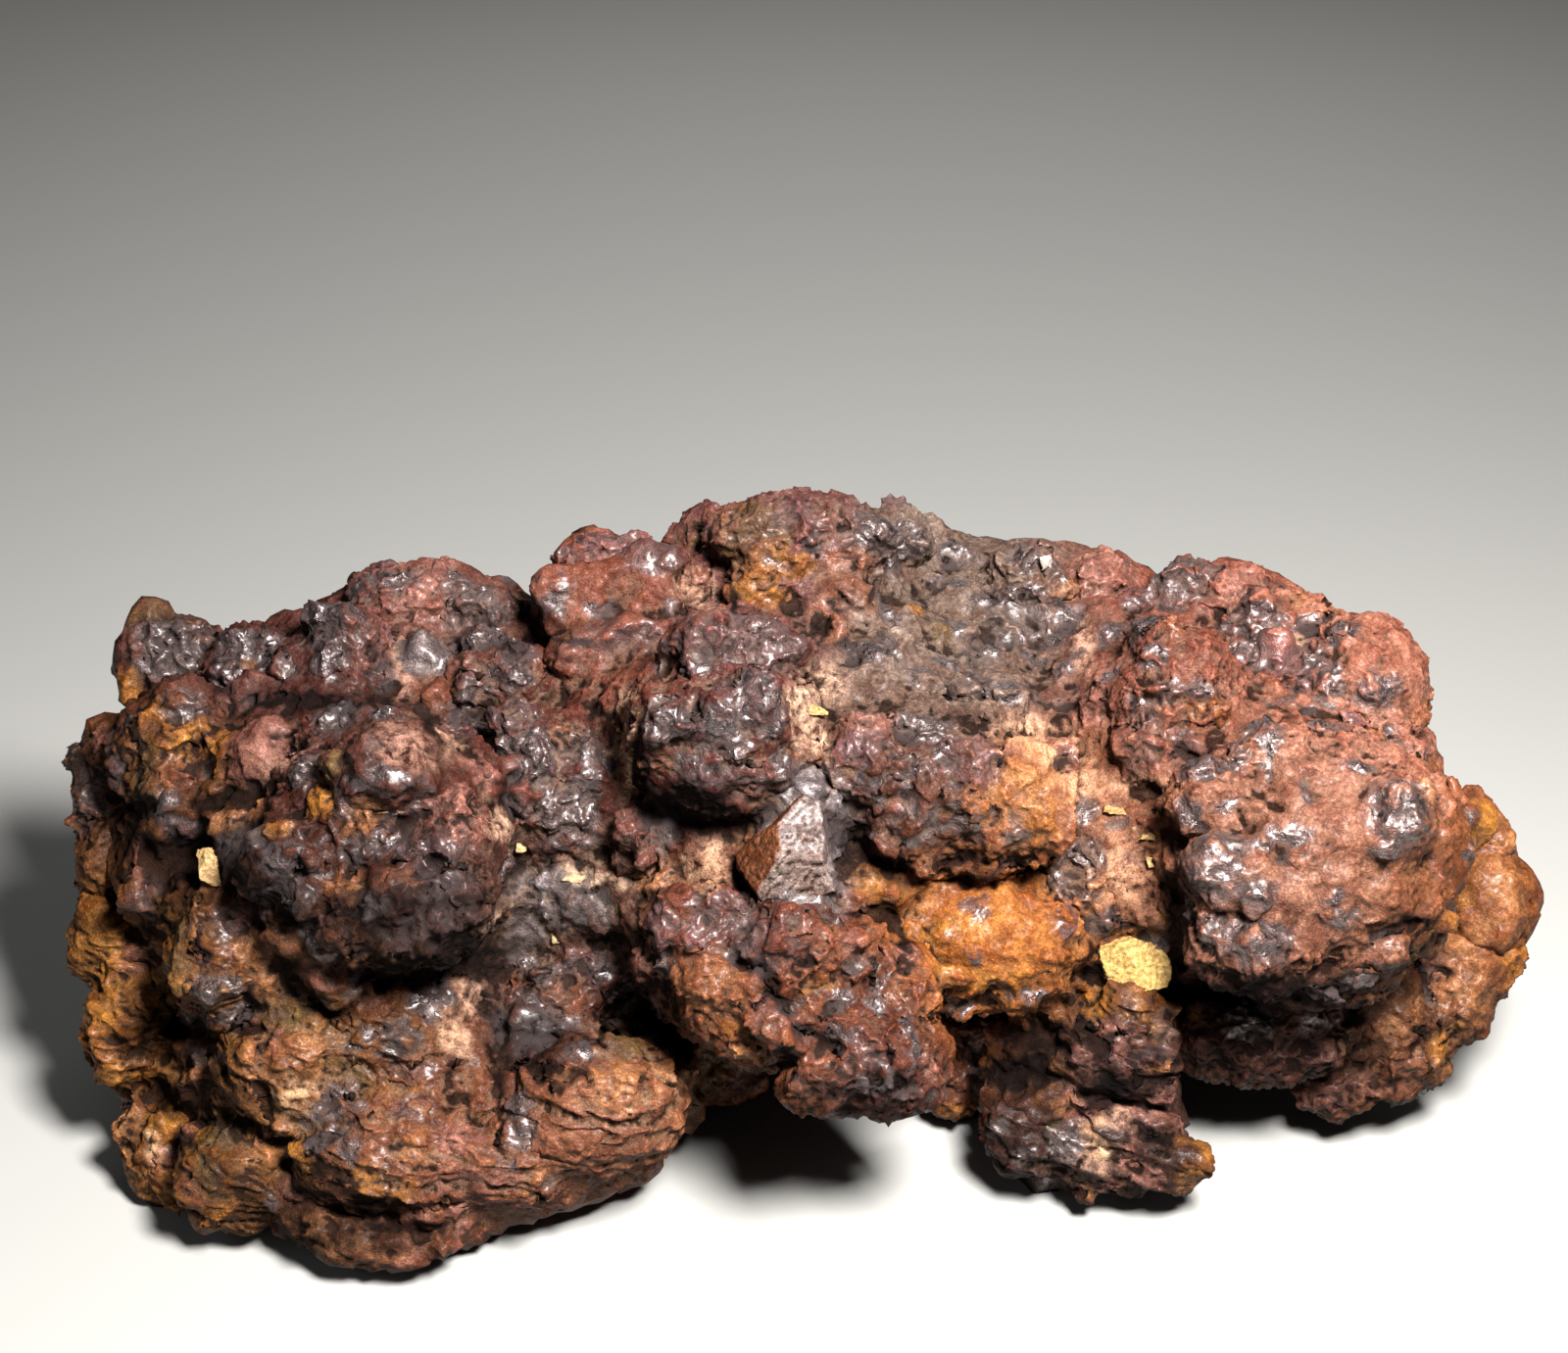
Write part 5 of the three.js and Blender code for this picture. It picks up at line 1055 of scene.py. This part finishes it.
def paint(piece):
    spots = placesOf(piece)
    count = len(spots)
    across, up = onFace(spots)
    seen = inSight(formSurface, spots, finishAndShade["seenDepth"])
    fine, mid, broad = (hollowsOf(piece, rounds) for rounds in finishAndShade["rounds"])
    moved = strayed(spots, *finishAndShade["tintStray"])
    faceAcross, faceUp = onFace(strayed(spots, *wander))

    crust, dustTint = np.zeros((count, 3)), np.zeros((count, 3))
    dust, total = np.zeros(count), np.full(count, 1e-9)
    for x, y, reach, colour, dustColour, amount in zones:
        weight = np.exp(-((across - x) ** 2 + (up - y) ** 2) / reach ** 2 * finishAndShade["zoneFalloff"])
        crust += weight[:, None] * np.array(colour)
        dustTint += weight[:, None] * np.array(dustColour)
        dust += weight * amount
        total += weight
    crust /= total[:, None]
    dustTint /= total[:, None]
    dust /= total

    tint, lustre, covered = np.zeros((count, 3)), np.zeros(count), np.zeros(count)
    lean, start, soft = finishAndShade["crown"]
    order = np.argsort(moved[:, 0])
    sortedX = moved[order, 0]
    for centre, turn, half, finish in grown:
        reach = half.max() * finishAndShade["knobSearch"]
        first, last = np.searchsorted(sortedX, (centre[0] - reach, centre[0] + reach))
        near = order[first:last]
        near = near[np.abs(moved[near] - centre).max(axis=1) < reach]
        local = (moved[near] - centre) @ turn / half
        weight = np.clip((finishAndShade["knobReach"] - np.linalg.norm(local, axis=1)) / finishAndShade["knobFade"], 0, 1) ** 2
        colour, shine, share = tones[finish]
        tint[near] += weight[:, None] * (np.array(colour) * share + crust[near] * (1 - share))
        lustre[near] += weight * shine * np.clip((local[:, 2] + lean * local[:, 1] + start) / soft, 0, 1)
        covered[near] += weight
    shown = np.minimum(covered, 1)
    tint = crust * (1 - shown)[:, None] + tint / np.maximum(covered, 1e-9)[:, None] * shown[:, None]
    lustre = lustre / np.maximum(covered, 1)
    wall, gain, least = finishAndShade["underside"]
    tint *= np.clip(wall + normalsOf(piece)[:, 2] * gain, least, 1)[:, None]  # painted shade: undersides are darker

    lying, shade = np.zeros(count), np.zeros(count)
    for oval in rivers:
        lying = np.maximum(lying, within(oval, faceAcross, faceUp, finishAndShade["riverRim"]) * finishAndShade["riverFill"])
    # painted shade in the crevices
    for x, y, halfWidth, halfHeight, depth, roll in crevices:
        search = finishAndShade["creviceSearch"] * max(halfWidth, halfHeight)
        near = np.flatnonzero(np.abs(faceAcross - x) + np.abs(faceUp - y) < search)
        oval = (x, y, halfWidth, halfHeight, roll)
        inner = within(oval, faceAcross[near], faceUp[near], finishAndShade["creviceRim"])
        dark = np.clip(inner * finishAndShade["creviceFill"], 0, 1) * min(1, depth / finishAndShade["blackDepth"])
        shade[near] = np.maximum(shade[near], dark)
    # painted shadows darken the colour under and between the lumps
    for *oval, dark, roll in paintedShadows:
        inner = within((*oval, roll), faceAcross, faceUp, finishAndShade["shadowRim"])
        shade = np.maximum(shade, np.clip(inner * finishAndShade["shadowFill"], 0, 1) * dark)
    lying = np.where(seen, lying, 0) * np.clip(finishAndShade["riverShore"] - covered, 0, 1)
    shade = np.where(seen, shade, 0)

    deep, small = (np.percentile(np.abs(hollows), finishAndShade["loud"]) for hollows in (mid, fine))
    tint *= (1 + np.clip(-mid / deep, 0, 1) * finishAndShade["crestGain"])[:, None]  # crests are painted paler: worn edges, and painted light on them
    layOn(piece, "tint", tint)
    layOn(piece, "dustTint", dustTint)
    layOn(piece, "lustre", lustre)
    layOn(piece, "lying", lying)
    # painted shade in broad and middling hollows, less where dust lies; the pit layer is painted shade in
    # fine pits
    shade += np.clip(broad / finishAndShade["broadDepth"] - finishAndShade["broadStart"], 0, 1) * finishAndShade["broadShade"]
    hollowShade = finishAndShade["hollowShade"] - finishAndShade["dustRelief"] * dust
    shade += np.clip(mid / deep - finishAndShade["hollowStart"], 0, 1) * hollowShade
    layOn(piece, "shade", np.clip(shade, 0, 1))
    layOn(piece, "dusty", dust * np.clip(mid / deep * finishAndShade["dustFill"], 0, 1))
    layOn(piece, "pitShade", np.clip(fine / small, 0, 1) ** finishAndShade["pitShape"])


for piece in pieces.values():
    paint(piece)
facing = normalsOf(crystalPiece)
count = len(facing)
gain, start = crystal["rustTurn"]
rusty = np.clip(-facing[:, 0] * gain - start, 0, 1)
gain, start = crystal["paleTurn"]
pale = np.clip(-facing[:, 1] * gain - start, 0, 1) * (1 - rusty)
grey = 1 - rusty - pale
faces = np.outer(grey, crystal["greyFace"]) + np.outer(rusty, crystal["rustFace"])
faces += np.outer(pale, crystal["paleFace"])
layOn(crystalPiece, "tint", np.maximum(faces, 0))
layOn(crystalPiece, "dustTint", np.tile(crystal["dust"], (count, 1)))
layOn(crystalPiece, "lustre", crystal["lustre"] * grey)
layOn(crystalPiece, "lying", np.zeros(count))
# painted shade: crystal faces turned down are darker, and its fine pits darker still
layOn(crystalPiece, "shade", np.clip(-facing[:, 2] * 1.5 + 0.1, 0, 0.9))
rounds, deep, most = crystal["dustHollows"]
layOn(crystalPiece, "dusty", np.clip(hollowsOf(crystalPiece, rounds) / deep, 0, most))
rounds, deep = crystal["pitHollows"]
layOn(crystalPiece, "pitShade", np.clip(hollowsOf(crystalPiece, rounds) / deep, 0, 1))
print("finishes laid")

# finish
finish = bpy.data.materials.new("hematite")
finish.use_nodes = True
tree = finish.node_tree
shader = tree.nodes["Principled BSDF"]


def addNode(kind, **settings):
    made = tree.nodes.new(kind)
    for key, value in settings.items():
        setattr(made, key, value)
    return made


def attribute(name, output="Fac"):
    return addNode("ShaderNodeAttribute", attribute_name=name).outputs[output]


def between(source, low, high, fromValue=0, toValue=1):
    made = addNode("ShaderNodeMapRange", clamp=True)
    tree.links.new(source, made.inputs["Value"])
    made.inputs["From Min"].default_value = low
    made.inputs["From Max"].default_value = high
    made.inputs["To Min"].default_value = fromValue
    made.inputs["To Max"].default_value = toValue
    return made.outputs["Result"]


def combine(operation, *values):
    made = addNode("ShaderNodeMath", operation=operation, use_clamp=operation in ("ADD", "SUBTRACT"))
    for socket, value in zip(made.inputs, values):
        if isinstance(value, bpy.types.NodeSocket):
            tree.links.new(value, socket)
        else:
            socket.default_value = value
    return made.outputs["Value"]


def mix(amount, low, high, blend="MIX"):
    made = addNode("ShaderNodeMix", data_type="RGBA", blend_type=blend)
    sockets = [s for s in made.inputs if s.enabled]
    for socket, value in zip(sockets, (amount, low, high)):
        if isinstance(value, bpy.types.NodeSocket):
            tree.links.new(value, socket)
        elif isinstance(value, tuple):
            socket.default_value = (*value, 1)
        else:
            socket.default_value = value
    return made.outputs["Result"]


place = addNode("ShaderNodeTexCoord").outputs["Object"]


def noise(size, detail, roughness=0.5):  # size in mm
    made = addNode("ShaderNodeTexNoise")
    made.inputs["Scale"].default_value = 1 / (size * mm)
    made.inputs["Detail"].default_value = detail
    made.inputs["Roughness"].default_value = roughness
    tree.links.new(place, made.inputs["Vector"])
    return made.outputs["Fac"]


look = {
    "mottle": 2.6,  # mm
    "wrinkle": 1.1,
    "crease": 0.7,
    "warp": 0.5,
    "grain": 0.2,
    "grit": 0.5,
    "silver": (0.11, 0.084, 0.082),
    "shadow": (0.08, 0.065, 0.06),  # what is left of a colour in the dark of a hollow
    "mottleShade": (0.4, 0.25, 0.2),
    "gritShade": (0.45, 0.4, 0.38),
    "grainLight": (2.1, 1.8, 1.6),
    "dustShade": (0.3, 0.2, 0.15),
    "roughness": (0.5, 0.36, 0.9),  # of the crust, of a lustrous top and of dust and hollows
    "specular": 0.08,
    "coat": {"Roughness": 0.34, "IOR": 1.85},
    "wrinkleHeight": 0.3,
    "grainHeight": 0.24,
}


def warped(size, amount):  # Object coordinates pushed about, mm
    source = addNode("ShaderNodeTexNoise")
    source.inputs["Scale"].default_value = 1 / (size * mm)
    tree.links.new(place, source.inputs["Vector"])
    centred = addNode("ShaderNodeVectorMath", operation="SUBTRACT")
    tree.links.new(source.outputs["Color"], centred.inputs[0])
    centred.inputs[1].default_value = (0.5, 0.5, 0.5)
    pushed = addNode("ShaderNodeVectorMath", operation="MULTIPLY_ADD")
    tree.links.new(centred.outputs["Vector"], pushed.inputs[0])
    pushed.inputs[1].default_value = (amount * mm,) * 3
    tree.links.new(place, pushed.inputs[2])
    return pushed.outputs["Vector"]


mottle = noise(look["mottle"], 4)
patch = noise(1.1, 4, 0.65)
grain = noise(look["grain"], 2)
grit = noise(look["grit"], 3, 0.7)
ridges = addNode("ShaderNodeTexNoise", noise_type="RIDGED_MULTIFRACTAL", normalize=True)
ridges.inputs["Scale"].default_value = 1 / (look["wrinkle"] * mm)
ridges.inputs["Detail"].default_value = 3
tree.links.new(warped(1.6, 0.9), ridges.inputs["Vector"])
wrinkle = ridges.outputs["Fac"]
creases = addNode("ShaderNodeTexNoise", noise_type="RIDGED_MULTIFRACTAL", normalize=True)
creases.inputs["Scale"].default_value = 1 / (look["crease"] * mm)
creases.inputs["Detail"].default_value = 2
tree.links.new(warped(0.7, look["warp"]), creases.inputs["Vector"])
unbroken = between(creases.outputs["Fac"], 0.76, 0.64)

tint, dustTint = attribute("tint", "Color"), attribute("dustTint", "Color")
varied = mix(between(mottle, 0.35, 0.65), tint, mix(0.8, tint, look["mottleShade"], "MULTIPLY"))
speckled = mix(between(grit, 0.42, 0.66), mix(0.8, varied, look["gritShade"], "MULTIPLY"), varied)
speckled = mix(between(grain, 0.5, 0.72), speckled, mix(1.0, speckled, look["grainLight"], "MULTIPLY"))
dustMask = combine("ADD", attribute("dusty"), attribute("lying"))
dustMask = combine("MULTIPLY", dustMask, between(patch, 0.36, 0.58))
dustShadow = mix(0.75, dustTint, look["dustShade"], "MULTIPLY")
dusted = mix(dustMask, speckled, mix(between(grain, 0.3, 0.62), dustShadow, dustTint))
# painted shade in fine pits and along the creases, with the shade layer, darkens the colour
pitAndCreaseShade = combine("ADD", attribute("pitShade"), combine("SUBTRACT", 0.5, combine("MULTIPLY", unbroken, 0.5)))
darkMask = combine("ADD", attribute("shade"), combine("MULTIPLY", pitAndCreaseShade, combine("SUBTRACT", 1.0, dustMask)))
darkened = mix(darkMask, dusted, mix(1.0, dusted, look["shadow"], "MULTIPLY"))
clean = combine("MULTIPLY", unbroken, combine("SUBTRACT", 1.0, dustMask))
lustreMask = combine("MULTIPLY", combine("MULTIPLY", attribute("lustre"), between(patch, 0.34, 0.5)), clean)
coloured = mix(combine("MULTIPLY", lustreMask, 0.75), darkened, look["silver"])
tree.links.new(coloured, shader.inputs["Base Color"])

dull = combine("ADD", dustMask, darkMask)
crustRough, topRough, dullRough = ((value,) * 3 for value in look["roughness"])
roughness = mix(dull, mix(lustreMask, crustRough, topRough), dullRough)
tree.links.new(roughness, shader.inputs["Roughness"])
tree.links.new(lustreMask, shader.inputs["Metallic"])
shader.inputs["Specular IOR Level"].default_value = look["specular"]
for name, value in look["coat"].items():
    shader.inputs["Coat " + name].default_value = value
shine = combine("ADD", combine("MULTIPLY", lustreMask, 0.92), 0.06)
shine = combine("MULTIPLY", shine, between(grit, 0.4, 0.54, 0.15, 1))
shine = combine("MULTIPLY", shine, between(grain, 0.36, 0.56, 0.4, 1))
tree.links.new(combine("MULTIPLY", combine("SUBTRACT", 1.0, dull), shine), shader.inputs["Coat Weight"])

ripple = addNode("ShaderNodeBump")
ripple.inputs["Distance"].default_value = look["wrinkleHeight"] * mm
smoother = combine("SUBTRACT", 1.0, combine("MULTIPLY", lustreMask, 0.45))
folded = combine("ADD", combine("MULTIPLY", wrinkle, -0.6), combine("MULTIPLY", unbroken, 0.5))
tree.links.new(combine("MULTIPLY", combine("ADD", folded, 0.5), smoother), ripple.inputs["Height"])
bump = addNode("ShaderNodeBump")
bump.inputs["Distance"].default_value = look["grainHeight"] * mm
roughened = combine("ADD", combine("MULTIPLY", grain, 0.5), combine("MULTIPLY", grit, 0.5))
tree.links.new(roughened, bump.inputs["Height"])
tree.links.new(ripple.outputs["Normal"], bump.inputs["Normal"])
tree.links.new(bump.outputs["Normal"], shader.inputs["Normal"])

crumbFinish = bpy.data.materials.new("crumb")
crumbFinish.use_nodes = True
tree = crumbFinish.node_tree
shader = tree.nodes["Principled BSDF"]
place = addNode("ShaderNodeTexCoord").outputs["Object"]
flour = noise(look["grit"], 3, 0.7)
crumbColour = attribute("tint", "Color")
floury = mix(0.9, crumbColour, (0.5, 0.36, 0.22), "MULTIPLY")
tree.links.new(mix(between(flour, 0.4, 0.6), floury, crumbColour), shader.inputs["Base Color"])
shader.inputs["Roughness"].default_value = 0.7
bump = addNode("ShaderNodeBump")
bump.inputs["Distance"].default_value = look["grainHeight"] * mm
tree.links.new(flour, bump.inputs["Height"])
tree.links.new(bump.outputs["Normal"], shader.inputs["Normal"])
for name, piece in crumbPieces.items():
    # painted shade in the crumbs' hollows, painted light on their crests
    hollow = np.clip(hollowsOf(piece, 5) / crumbMake["hollowDepth"], -0.3, 1)
    layOn(piece, "tint", np.outer(1 - hollow * crumbMake["hollowShade"], crumbs[name][4]))

for piece in (*pieces.values(), crystalPiece, *crumbPieces.values()):
    piece.data.materials.clear()
    piece.data.materials.append(crumbFinish if piece.name in crumbs else finish)
    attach(piece, "root")
    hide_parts("hematite")

# studio
studio = {
    "floor": (0.32, 0.315, 0.3),
    "sky": (0.8, 0.85, 0.92),
    "skyStrength": 0.025,
    "key": {"place": (65, -150, 235), "size": 62, "power": 3.4, "colour": (1, 0.98, 0.96)},
    "fill": {"place": (-330, -160, 160), "size": 240, "power": 0.12, "colour": (0.9, 0.95, 1)},
    "rim": {"place": (20, 330, 260), "size": 240, "power": 0.3, "colour": (1, 1, 1)},
}

bpy.ops.mesh.primitive_plane_add(size=6, location=(0, 0, 0))
floor = bpy.context.object
floor.name = "floor"
paper = bpy.data.materials.new("paper")
paper.use_nodes = True
paper.node_tree.nodes["Principled BSDF"].inputs["Base Color"].default_value = (*studio["floor"], 1)
paper.node_tree.nodes["Principled BSDF"].inputs["Roughness"].default_value = 0.9
floor.data.materials.append(paper)

world = bpy.data.worlds.new("studio")
world.use_nodes = True
world.node_tree.nodes["Background"].inputs["Color"].default_value = (*studio["sky"], 1)
world.node_tree.nodes["Background"].inputs["Strength"].default_value = studio["skyStrength"]
scene.world = world
scene.view_settings.view_transform = "Standard"

for name in ("key", "fill", "rim"):
    values = studio[name]
    lamp = bpy.data.lights.new(name, "AREA")
    lamp.size = values["size"] * mm
    lamp.energy = values["power"]
    lamp.color = values["colour"]
    lampHolder = bpy.data.objects.new(name, lamp)
    lampHolder.location = Vector(values["place"]) * mm
    lampHolder.rotation_euler = (middle - lampHolder.location).to_track_quat("-Z", "Y").to_euler()
    scene.collection.objects.link(lampHolder)

lens = bpy.data.cameras.new("camera")
lens.lens = sight["lens"]
lens.sensor_width = 36
camera = bpy.data.objects.new("camera", lens)
camera.location = eye
camera.rotation_euler = (-toEye).to_track_quat("-Z", "Y").to_euler()
scene.collection.objects.link(camera)
scene.camera = camera
